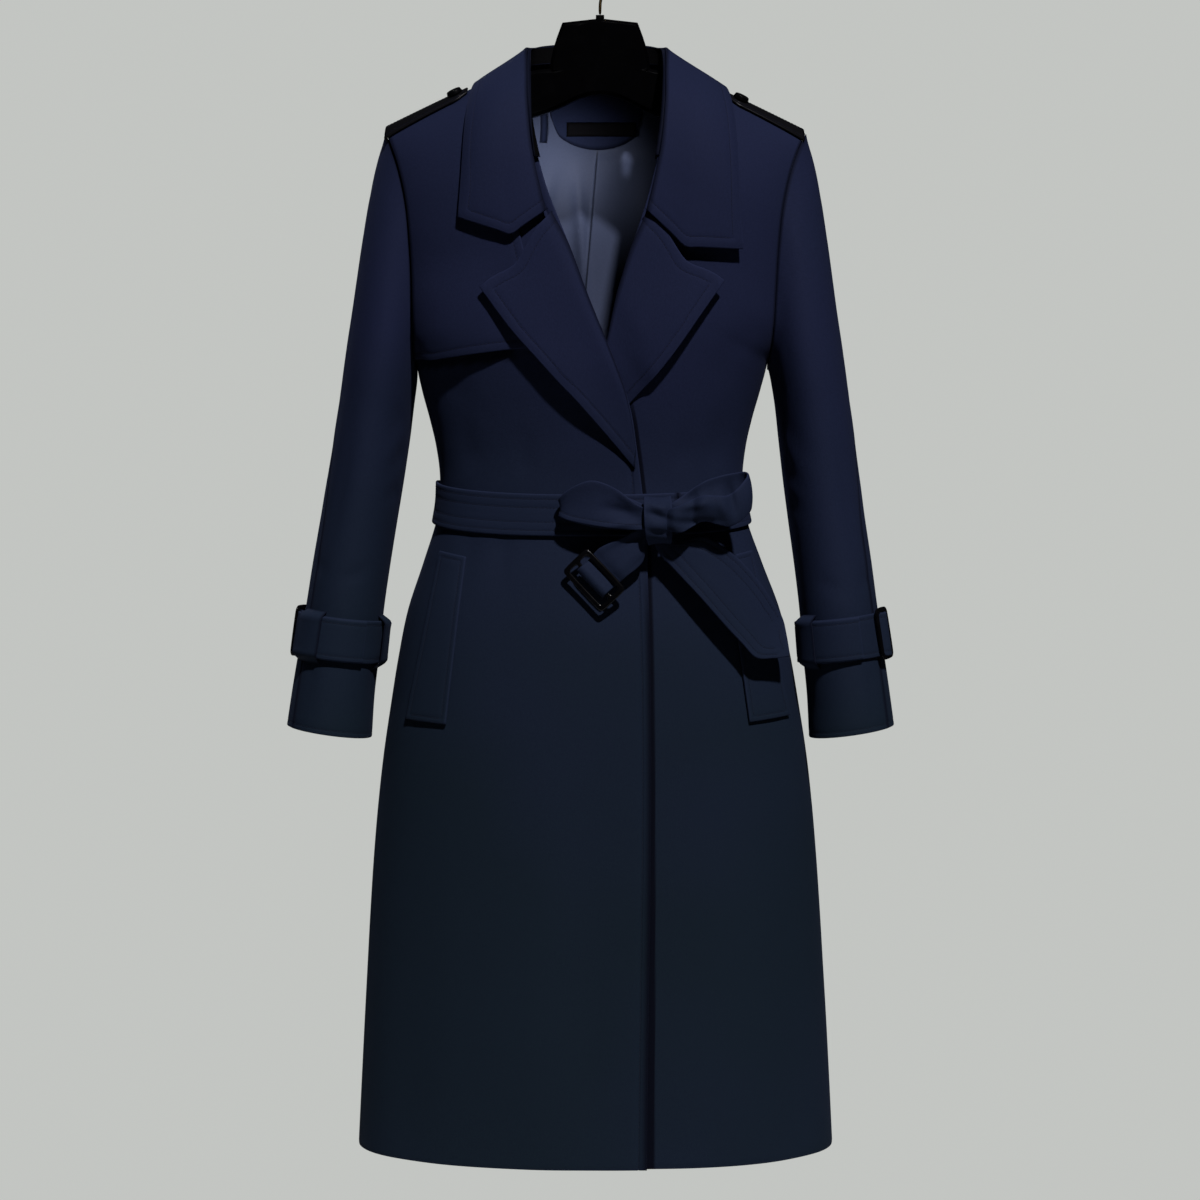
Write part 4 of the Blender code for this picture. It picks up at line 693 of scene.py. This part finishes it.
def stitch_mesh(paths):
    """Points and faces of all the stitches along some paths: small spindles of thread."""
    centres, tangents, normals = [], [], []
    for points, normal in paths:
        run = np.concatenate(([0], np.cumsum(np.linalg.norm(np.diff(points, axis=0), axis=1))))
        count = int((run[-1] - STITCH) / STITCH_PITCH)
        if count < 1:
            continue
        at = (run[-1] - (count - 1) * STITCH_PITCH) / 2 + STITCH_PITCH * np.arange(count)
        ends = [read_along(at + way * STITCH / 2, run, points) for way in (-1, 1)]
        centres.append((ends[0] + ends[1]) / 2)
        tangents.append(unit(ends[1] - ends[0]))
        normals.append(unit(read_along(at, run, normal)))
    c, t, n = (np.concatenate(part) for part in (centres, tangents, normals))
    side = unit(np.cross(t, n))
    shape = []
    for along, size in SPINDLE:
        lift = ARCH * (1 - (2 * along) ** 2) + CLEAR
        for a, b in ((1, 0), (0, 1), (-1, 0), (0, -1)):
            shape.append(c + t * along * STITCH + n * (lift + b * size * THREAD) + side * a * size * THREAD)
    points = np.stack(shape, axis=1)
    faces = [(r + k, r + (k + 1) % 4, r + (k + 1) % 4 + 4, r + k + 4)
             for r in range(0, 16, 4) for k in range(4)]
    faces += [(3, 2, 1, 0), (16, 17, 18, 19)]
    every = np.array(faces)[None] + points.shape[1] * np.arange(len(c))[:, None, None]
    return points.reshape(-1, 3), every.reshape(-1, 4)


# ---- materials
FINISH = {}


def new_material(name):
    FINISH[name] = material = bpy.data.materials.new(name)
    material.use_nodes = True
    return material.node_tree, material.node_tree.nodes["Principled BSDF"]


def feed(tree, target, inputs):
    """Gives a node's inputs their values or the outputs of other nodes."""
    for key, value in dict(inputs).items():
        if isinstance(value, bpy.types.NodeSocket):
            tree.links.new(value, target.inputs[key])
        else:
            target.inputs[key].default_value = value


def node(tree, kind, inputs=(), **settings):
    made = tree.nodes.new(kind)
    for key, value in settings.items():
        setattr(made, key, value)
    feed(tree, made, inputs)
    return made


def maths(tree, operation, *values):
    return node(tree, "ShaderNodeMath", enumerate(values), operation=operation).outputs[0]


def times(tree, a, b):
    return maths(tree, "MULTIPLY", a, b)


def plus(tree, total, *more):
    for value in more:
        total = maths(tree, "ADD", total, value)
    return total


def mixed(tree, share, a, b):
    return node(tree, "ShaderNodeMix", {0: share, 6: a, 7: b}, data_type="RGBA").outputs[2]


def ramp(tree, value, low, high):
    """Turns low..high of a value into 0..1."""
    return node(tree, "ShaderNodeMapRange", {0: value, 1: low, 2: high}).outputs[0]


def noise(tree, where, scale, detail=2.0, rough=0.5):
    inputs = {"Vector": where, "Scale": scale, "Detail": detail, "Roughness": rough}
    return node(tree, "ShaderNodeTexNoise", inputs).outputs["Fac"]


def stored(tree, key, output="Fac"):
    return node(tree, "ShaderNodeAttribute", attribute_name=key).outputs[output]


def object_place(tree):
    return node(tree, "ShaderNodeTexCoord").outputs["Object"]


def bumped(tree, strength, distance, height, **more):
    inputs = {"Strength": strength, "Distance": distance, "Height": height, **more}
    return node(tree, "ShaderNodeBump", inputs).outputs[0]


def shaded(colour, share, lift=0.0):
    """A colour's share, lifted by a little."""
    return tuple(share * value + lift for value in colour[:3]) + (1.0,)


WAVER, FUZZ, SLUBS, DYE, PATCHES, LINT = 90.0, 1500.0, 430.0, 9.0, 3.2, 900.0     # scales of the noises
RIB_HIGH, YARN_HIGH, SLUB_HIGH = 0.32, 0.16, 1.6
RIM = 0.0022            # how far a worn edge reaches in


def woven(name, colour, shade, tint, rough, sheen, sheen_tint, pitch, bump, ribs, specular):
    """Cloth: fine diagonal ribs along its grain, mottled dye, worn lighter edges and a little lint, with
    painted shade in the weave's hollows, lower down, in the seams and where pieces lie on each other.
    """
    tree, shader = new_material(name)
    grain, place = stored(tree, "grain", "Vector"), object_place(tree)
    parts = node(tree, "ShaderNodeSeparateXYZ", {0: grain}).outputs
    turn = 2 * math.pi / pitch
    waver = times(tree, noise(tree, grain, WAVER), 1.6)
    slope = plus(tree, times(tree, parts[0], turn), times(tree, parts[1], turn * ribs))
    rib = maths(tree, "SINE", plus(tree, slope, waver))
    yarn = maths(tree, "SINE", times(tree, parts[1], turn * 2.1))
    fuzz, slubs = noise(tree, grain, FUZZ, 3.0, 0.6), noise(tree, grain, SLUBS, 2.0, 0.6)
    height = plus(tree, times(tree, rib, RIB_HIGH), times(tree, yarn, YARN_HIGH), fuzz,
                  times(tree, slubs, SLUB_HIGH))
    soft = noise(tree, place, DYE, 3.0, 0.55)
    fine = bumped(tree, bump, 0.00012, height, Normal=bumped(tree, 0.35, 0.0012, soft))
    patches = maths(tree, "SUBTRACT", noise(tree, place, PATCHES), 0.5)
    # painted shade: the cloth turns darker and greener lower down; the patches mixed in are random mottled
    # dye
    high = node(tree, "ShaderNodeSeparateXYZ", {0: place}).outputs[2]
    wide = plus(tree, ramp(tree, high, -0.35, -0.75), times(tree, patches, 1.2))
    dyed = mixed(tree, node(tree, "ShaderNodeClamp", {0: wide}).outputs[0], colour, tint)
    # painted shade: the hollows of the weave are darkened towards the shade colour
    hollows = ramp(tree, height, 1.9, 0.9)
    dyed = mixed(tree, times(tree, hollows, 0.45), dyed, shade)
    rim = ramp(tree, stored(tree, "edge"), RIM, 0.0)
    lint = ramp(tree, noise(tree, place, LINT, 1.0, 0.5), 0.70, 0.80)
    light = plus(tree, times(tree, rim, 0.10), times(tree, lint, 0.06))
    dyed = mixed(tree, light, dyed, shaded(colour, 2.6, 0.003))
    # painted shade and shadow, from the value stored on each piece for its seams and contacts
    dyed = mixed(tree, stored(tree, "shade"), dyed, shaded(colour, 0.12))
    matt = plus(tree, rough - 0.06, times(tree, soft, 0.14))
    feed(tree, shader, {"Base Color": dyed, "Roughness": matt, "Normal": fine, "Specular IOR Level": specular,
                        "Sheen Weight": sheen, "Sheen Roughness": 0.45, "Sheen Tint": sheen_tint})


def moulded(name, colour, rough, grain, specular):
    """Moulded plastic: a faint grain, with the mark of handling in its gloss."""
    tree, shader = new_material(name)
    place = object_place(tree)
    handled = noise(tree, place, 60.0, 4.0, 0.6)
    feed(tree, shader, {
        "Base Color": mixed(tree, ramp(tree, handled, 0.45, 0.75), colour, shaded(colour, 1.5)),
        "Roughness": plus(tree, rough - 0.05, times(tree, handled, 0.12)), "Specular IOR Level": specular,
        "Normal": bumped(tree, grain, 0.0001, noise(tree, place, 1400.0, 3.0, 0.6))})


def polished(name, colour, dull):
    """Brass wire, with faint drawing marks along it."""
    tree, shader = new_material(name)
    place = object_place(tree)
    marks = noise(tree, place, 320.0, 4.0, 0.7)
    feed(tree, shader, {
        "Base Color": mixed(tree, ramp(tree, noise(tree, place, 45.0), 0.40, 0.70), colour, dull),
        "Roughness": plus(tree, 0.16, times(tree, marks, 0.16)), "Metallic": 1.0,
        "Normal": bumped(tree, 0.15, 0.0001, marks)})


# colour, its painted shade in the hollows of the weave, its tint lower down (painted shade, darker and
# greener), roughness, sheen and its tint, pitch of the weave, strength of its bump, lean of its ribs,
# specular level
woven("coat_cloth", (0.0112, 0.0150, 0.0405, 1), (0.0046, 0.0060, 0.0160, 1), (0.0062, 0.0122, 0.0184, 1),
      0.70, 0.015, (0.42, 0.48, 0.85, 1), 0.00075, 0.55, 0.9, 0.03)
woven("lining_cloth", (0.039, 0.050, 0.090, 1), (0.025, 0.031, 0.058, 1), (0.034, 0.044, 0.080, 1),
      0.60, 0.03, (0.6, 0.7, 0.9, 1), 0.00042, 0.22, 0.3, 0.12)
woven("label_cloth", (0.0030, 0.0030, 0.0040, 1), (0.0018, 0.0018, 0.0022, 1), (0.0036, 0.0036, 0.0046, 1),
      0.70, 0.0, (0.6, 0.6, 0.7, 1), 0.0006, 0.5, 0.1, 0.02)
# the epaulettes are the coat's navy cloth, painted near black for the shade they stand in
woven("epaulette_cloth", (0.0035, 0.0035, 0.0045, 1), (0.0020, 0.0020, 0.0025, 1),
      (0.0030, 0.0040, 0.0050, 1), 0.32, 0.0, (0.6, 0.6, 0.7, 1), 0.0006, 0.12, 0.5, 0.10)
woven("sewing_thread", (0.0070, 0.0082, 0.0210, 1), (0.0040, 0.0046, 0.0110, 1), (0.0062, 0.0090, 0.0170, 1),
      0.62, 0.02, (0.5, 0.55, 0.8, 1), 0.0006, 0.3, 0.5, 0.10)
moulded("buckle_plastic", (0.0012, 0.0012, 0.0016, 1), 0.20, 0.10, 0.14)
moulded("hanger_plastic", (0.0006, 0.0006, 0.0008, 1), 0.34, 0.35, 0.02)
polished("hook_wire", (0.62, 0.42, 0.17, 1), (0.42, 0.27, 0.10, 1))


# ---- the pieces of cloth
Sides = namedtuple("Sides", "right left")      # the wearer's
AWAY = Sides(from_sleeve(-1), from_sleeve(1))
LEFT_SHIFT = -0.012                            # of the left sleeve's creases against the right one's
PRESS = Sides(sleeve_creases(-1), sleeve_creases(1, LEFT_SHIFT))
BUCKLED = Sides(*(through_buckle("cuff_buckle_" + side, away, press)
                  for side, away, press in zip(Sides._fields, AWAY, PRESS)))
NONE = ((), (), (), ())
DIP = 0.00035                                  # of a stitch row
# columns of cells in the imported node, thickness of the wall, distance of the finer lines of points, rounded
# edges, stitch rows, creases, slot, thread, depth of the facings inside, depth of a row, and three directions
Part = namedtuple("Part", "name columns wall step rounds rows press cloth group facing dip right up away",
                  defaults=(NONE, as_hung, "coat_cloth", None, None, DIP, EAST, UP, FRONT))


def both(name, *values, **more):
    """One piece on either side of the coat; what differs between them is given as Sides."""
    def pick(value, side):
        return getattr(value, side) if isinstance(value, Sides) else value
    return [Part(f"{name}_{side}", *(pick(value, side) for value in values),
                 **{key: pick(value, side) for key, value in more.items()}) for side in Sides._fields]


def keeper(side, end, narrower, pull):
    name = f"cuff_keeper_{side}_{end}"
    press = around_strap(name, getattr(AWAY, side), getattr(PRESS, side), narrower, pull)
    return Part(name, 3, 0.0012, 0.0030, THIN, press=press)


# rounds and rows are the widths of the rounded edges and the distances of the stitch rows on the sides:
# first column, last column, first row, last row
SEAM, FREE = 0.0006, 0.0012
ALL_SEAM, ALL_FREE, THIN = (SEAM,) * 4, (FREE,) * 4, (0.0005,) * 4
STRIP, HEMMED, OPEN_CORNER = (SEAM, SEAM, FREE, FREE), (SEAM, SEAM, FREE, SEAM), (SEAM, FREE, FREE, SEAM)
BELT_ROWS, HEM_ROWS = ((), (), (0.005, 0.013), (0.005, 0.013)), ((), (), (0.005,), ())
LAPEL_ROWS, STRAP_ROWS = ((), (0.010,), (0.010,), ()), ((), (), (0.0045,), (0.0045,))
PARTS = (
    Part("front_right", 11, 0.0022, 0.0040, OPEN_CORNER, ((), (0.0078,), (), ()), coat_creases,
         group="front", facing=(None, 0.075, 0.04, None), dip=0.0011, away=from_coat),
    Part("front_left", 11, 0.0022, 0.0060, (FREE, SEAM, FREE, SEAM), ((0.0078,), (), (), ()), coat_creases,
         group="front", facing=(0.075, None, 0.04, None), away=from_coat),
    Part("back", 18, 0.0022, 0.0060, HEMMED, NONE, coat_creases, facing=(None, None, 0.04, None),
         away=from_coat),
    Part("collar_stand", 28, 0.0022, 0.0040, ALL_SEAM, facing=(0.0005,) * 4, away=from_coat),
    Part("collar_fall", 34, 0.0026, 0.0036, (FREE, FREE, SEAM, FREE), ((0.010,), (0.010,), (), (0.010,)),
         group="collar", up=DOWN, away=from_coat),
    Part("lapel_right", 8, 0.0026, 0.0036, OPEN_CORNER, LAPEL_ROWS, group="collar", right=WEST, up=DOWN),
    Part("lapel_left", 8, 0.0022, 0.0036, OPEN_CORNER, LAPEL_ROWS, group="collar", up=DOWN),
    *both("epaulette", 8, 0.0024, 0.0024, (SEAM, FREE, FREE, FREE), ((), (0.004,), (0.004,), (0.004,)),
          cloth="epaulette_cloth", group="epaulettes", right=Sides(EAST, WEST), up=BEHIND, away=UP),
    Part("storm_flap", 8, 0.0018, 0.0045, OPEN_CORNER, ((), (0.008,), (0.008,), ()), flap_lift, group="flap"),
    *both("pocket_welt", 3, 0.0030, 0.0036, ALL_FREE, ((0.005,),) * 4, coat_creases, group="welts"),
    *both("top_sleeve", 12, 0.0022, 0.0050, HEMMED, HEM_ROWS, PRESS, group="cuffs",
          facing=(None, None, 0.035, None)),
    *both("under_sleeve", 8, 0.0022, 0.0050, HEMMED, HEM_ROWS, PRESS, group="cuffs",
          facing=(None, None, 0.035, None), away=BEHIND),
    *both("cuff_strap", 20, 0.0024, 0.0034, STRIP, STRAP_ROWS, BUCKLED, group="straps", away=AWAY),
    *both("cuff_strap_end", 7, 0.0024, 0.0034, ALL_FREE, STRAP_ROWS, PRESS, group="straps"),
    keeper("right", "front", 0.12, 0.0024),
    keeper("right", "inner", 0.06, 0.0036),
    keeper("left", "inner", 0.06, 0.0030),
    Part("belt_band", 48, 0.0026, 0.0036, STRIP, BELT_ROWS, coat_creases, group="belt", away=from_coat),
    Part("bow_loop_right", 18, 0.0022, 0.0022, STRIP, HEM_ROWS, bow_creases, group="bow"),
    Part("bow_loop_left", 18, 0.0022, 0.0022, STRIP, NONE, loop_creases),
    Part("belt_knot", 12, 0.0022, 0.0018, STRIP, NONE, knot_creases),
    Part("belt_end_long", 12, 0.0022, 0.0030, ALL_FREE, BELT_ROWS, group="belt", right=DOWN, up=EAST),
    Part("lining_back", 14, 0.0012, 0.0030, THIN, NONE, lining_folds, "lining_cloth"),
    Part("neck_facing", 12, 0.0012, 0.0040, THIN),
    Part("neck_label", 6, 0.0008, 0.0030, (0.0004,) * 4, cloth="label_cloth"),
    Part("hanging_loop", 1, 0.0012, 0.0030, THIN),
)


def cell_means(value):
    return (value[:-1, :-1] + value[1:, :-1] + value[:-1, 1:] + value[1:, 1:]) / 4


SEAM_SHADE, SEAM_FADE = 0.8, (0.0005, 0.0018)      # darkness of the painted seam shade, and distances over which it fades


def seam_shade(edges, rounds):
    """Painted shade in the seams, where two pieces meet."""
    dark = np.zeros_like(edges[0])
    for edge, edge_round in zip(edges, rounds):
        if edge_round <= SEAM:
            dark = np.maximum(dark, SEAM_SHADE * (1 - ease(edge, *SEAM_FADE)))
    return dark


SEAM_LAP = 0.0004
FOLD_LAP = 0.0028        # the collar's fold turns sharply at the two shoulders
FOLD_SIDE = {"collar_stand": 3, "collar_fall": 2}       # the side of each that meets the fold


def close_seams(name, face, rounds):
    """Draws the sewn edges of a face a little over their neighbours'."""
    for side, edge_round in enumerate(rounds):
        rows = face if side < 2 else face.swapaxes(0, 1)
        end, beside = ((0, 1), (-1, -2))[side % 2]
        if edge_round <= SEAM:
            lap = FOLD_LAP if FOLD_SIDE.get(name) == side else SEAM_LAP
            rows[end] += lap * unit(rows[end] - rows[beside])


lap_edge = []      # the heights and places of the right front's edge, which laps over the left front
OVER_SHADE, OVER_FADE, OVER_DEPTHS = 0.9, (0.0022, 0.0042), (0.56, 0.66)      # painted shade along the edge itself
UNDER_SHADE, UNDER_DEPTHS = 0.97, (0.40, 0.46)                                # painted shadow on the left front, beside it
UNDER_WIDE, UNDER_WIDER, WIDER_DEPTHS, UNDER_FADE = 0.0030, 0.0036, (0.7, 1.15), 0.0012
FLAP_EDGE = (np.array((-0.177, -0.157, -0.053)), np.array((-0.3942, -0.3954, -0.3841)))    # places and heights of the storm flap's lower edge, under which a shadow is painted
FLAP_SHADE, FLAP_BAND, FLAP_ENDS = 0.85, (-0.006, -0.002, 0.0065, 0.0095), (-0.200, -0.180, -0.085, -0.075)
# painted shade along the edge of the lining's pleat
PLEAT_SHADE, PLEAT_FADE, PLEAT_TOP = 0.85, (0.0004, 0.0014), (FACING_Z, 0.19)
# painted shade over the whole collar stand, which stands in shadow
STAND_SHADE = 0.85


def contact_shade(name, outer, edges):
    """Painted shade and shadow where another piece lies against or over this one, and over the whole collar
    stand.
    """
    x, _, z = np.moveaxis(outer, -1, 0)
    if name == "front_right":
        over = (1 - ease(edges[1], *OVER_FADE)) * ease(-z, *OVER_DEPTHS)
        under_flap = band(np.interp(x, *FLAP_EDGE) - z, *FLAP_BAND) * band(x, *FLAP_ENDS)
        return np.maximum(OVER_SHADE * over, FLAP_SHADE * under_flap)
    if name == "front_left":
        wide = UNDER_WIDE + UNDER_WIDER * ease(-z, *WIDER_DEPTHS)
        under = 1 - ease(x - np.interp(z, *lap_edge), wide, wide + UNDER_FADE)
        return UNDER_SHADE * under * ease(-z, *UNDER_DEPTHS)
    if name == "lining_back":
        beside = np.abs(x - np.interp(z, *PLEAT_EDGE))
        return PLEAT_SHADE * (1 - ease(beside, *PLEAT_FADE)) * ease(-z, *PLEAT_TOP)
    return STAND_SHADE if name == "collar_stand" else 0.0


def make_cloth(part):
    lap = {"front_left": lap_edge, "lining_back": PLEAT_EDGE}.get(part.name)
    outer, inner, edges = lay_cloth(cloth_grid(part), part, lap)
    for face in (outer, inner):
        close_seams(part.name, face, part.rounds)
    outer, inner = part.press(outer), part.press(inner)
    if part.name == "front_right":
        lap_edge.extend((outer[-1, :, 2], outer[-1, :, 0]))
    nearest = np.minimum.reduce(edges)
    grain = np.stack((edges[0], edges[2], np.zeros_like(nearest)), axis=-1)
    # painted shade: in the seams, and where pieces lie on each other
    shade = np.maximum(seam_shade(edges, part.rounds), contact_shade(part.name, outer, edges))
    piece = shell_mesh("cloth_" + part.name, outer, inner, {"grain": grain, "edge": nearest, "shade": shade})
    piece.data.materials.append(FINISH[part.cloth])
    if part.facing:
        # the collar stand's inside gets the near-black label cloth, a dark sheet painted for the shade it
        # stands in
        piece.data.materials.append(FINISH["label_cloth" if part.name == "collar_stand" else "lining_cloth"])
        lined = np.ones(cell_means(nearest).shape, bool)
        for edge, deep in zip(edges, part.facing):
            if deep:
                lined &= cell_means(edge) > deep
        index = np.concatenate((np.zeros(lined.size, np.int32), lined.ravel().astype(np.int32)))
        piece.data.polygons.foreach_set("material_index", index)
    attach(piece, "root")
    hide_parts(part.name)
    if part.group:
        paths = stitch_paths(outer, face_normals(outer, inner), edges, part.rows)
        stitch_groups.setdefault(part.group, []).extend(paths)


for part in PARTS:
    make_cloth(part)


# ---- hard pieces, and the short belt end
BEVEL_ANGLE, JOIN_ANGLE, JOIN_SHAPE = math.radians(28), math.radians(25), math.radians(60)


def softened(name, slot, bevel, rounds):
    """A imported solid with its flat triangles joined, its edges bevelled and its round faces smooth."""
    points, triangles = welded(name)
    piece = mesh_object("hard_" + name, points, triangles)
    work = bmesh.new()
    work.from_mesh(piece.data)
    bmesh.ops.join_triangles(work, faces=work.faces, angle_face_threshold=JOIN_ANGLE,
                             angle_shape_threshold=JOIN_SHAPE)
    work.to_mesh(piece.data)
    work.free()
    if bevel:
        edge = piece.modifiers.new("edges", "BEVEL")
        edge.width, edge.segments, edge.limit_method = bevel, 3, "ANGLE"
        edge.angle_limit = BEVEL_ANGLE
    smooth = piece.modifiers.new("round", "SUBSURF")
    smooth.levels = smooth.render_levels = rounds
    bpy.context.view_layer.objects.active = piece
    piece.select_set(True)
    for modifier in list(piece.modifiers):
        bpy.ops.object.modifier_apply(modifier=modifier.name)
    piece.select_set(False)
    piece.data.materials.append(FINISH[slot])
    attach(piece, "root")
    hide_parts(name)
    return piece


for name in ("belt_buckle", "cuff_buckle_right", "cuff_buckle_left", "epaulette_button_right",
             "epaulette_button_left"):
    softened(name, "buckle_plastic", 0.0006, 1)
softened("hanger_body", "hanger_plastic", 0.0010, 1)
softened("hanger_hook", "hook_wire", 0, 1)
short_end = softened("belt_end_buckle", "coat_cloth", 0, 2)
ends = coordinates(short_end.data)
ends = forward(ends, sum(crease_height(fold, ends[:, 0], ends[:, 2]) for fold in END_FOLDS))
short_end.data.vertices.foreach_set("co", ends.ravel())
grained(short_end)


# ---- stitches as thread
for group, paths in stitch_groups.items():
    thread = mesh_object("stitches_" + group, *stitch_mesh(paths))
    thread.data.materials.append(FINISH["sewing_thread"])
    grained(thread)
    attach(thread, "root")


# ---- floor, camera and light
FLOOR_Z, FLOOR_RADIUS, FLOOR_SIDES = -1.70, 1.6, 96
turns = 2 * np.pi * np.arange(FLOOR_SIDES) / FLOOR_SIDES
rim = [(FLOOR_RADIUS * math.cos(turn), FLOOR_RADIUS * math.sin(turn), FLOOR_Z) for turn in turns]
floor = mesh_object("floor", [(0.0, 0.0, FLOOR_Z)] + rim,
                    np.array([(0, 1 + k, 1 + (k + 1) % FLOOR_SIDES) for k in range(FLOOR_SIDES)]))
tree, shader = new_material("floor")
cloudy = noise(tree, object_place(tree), 1.5, 3.0, 0.5)
feed(tree, shader, {"Base Color": mixed(tree, cloudy, (0.41, 0.42, 0.41, 1), (0.45, 0.46, 0.45, 1)),
                    "Roughness": 0.9})
floor.data.materials.append(FINISH["floor"])


def aim(thing, direction):
    thing.rotation_euler = Vector(direction).to_track_quat("-Z", "Y").to_euler()


camera_data = bpy.data.cameras.new("camera")
camera_data.lens, camera_data.sensor_width = 93.0, 36.0
camera_data.clip_start, camera_data.clip_end = 0.1, 50.0
camera = placed("camera", camera_data)
camera.location = (0, -2.995, -0.4559)
aim(camera, Vector((0, 0, -0.6257)) - camera.location)
bpy.context.scene.camera = camera


def area_light(name, at, to, power, size, colour):
    data = bpy.data.lights.new(name, "AREA")
    data.shape, (data.size, data.size_y) = "RECTANGLE", size
    data.energy, data.color = power, colour
    light = placed(name, data)
    light.location = at
    aim(light, Vector(to) - Vector(at))
    return light


sun = bpy.data.lights.new("key", "SUN")
sun.energy, sun.angle, sun.color = 4.5, math.radians(3.0), (1.0, 0.97, 0.99)
aim(placed("key", sun), (-0.21, 0.60, -0.77))
area_light("fill", at=(0.3, -3.4, 0.2), to=(0, 0, -0.7), power=0.4, size=(2.2, 1.4), colour=(0.92, 0.96, 1.0))
behind = area_light("behind", at=(-1.8, 2.7, 1.0), to=(0, 0, -0.6), power=120, size=(2.6, 2.2),
                    colour=(1.0, 0.98, 0.96))
behind.visible_glossy = False
inside = area_light("inside", at=(-0.060, -0.050, -0.190), to=(-0.045, 0.080, -0.205), power=0.055,
                    size=(0.05, 0.04), colour=(1.0, 0.98, 0.99))
inside.visible_camera = False
inside.data.spread = math.radians(70)

world = bpy.data.worlds.new("world")
world.use_nodes = True
bpy.context.scene.world = world
sky = world.node_tree
seen = sky.nodes["Background"]
feed(sky, seen, {"Color": (0.545, 0.560, 0.540, 1), "Strength": 1.0})
dim = node(sky, "ShaderNodeBackground", {"Color": (0.545, 0.560, 0.560, 1), "Strength": 0.015})
camera_ray = node(sky, "ShaderNodeLightPath").outputs["Is Camera Ray"]
both_skies = node(sky, "ShaderNodeMixShader", {0: camera_ray, 1: dim.outputs[0], 2: seen.outputs[0]})
sky.links.new(both_skies.outputs[0], sky.nodes["World Output"].inputs[0])
bpy.context.scene.view_settings.view_transform = "Standard"
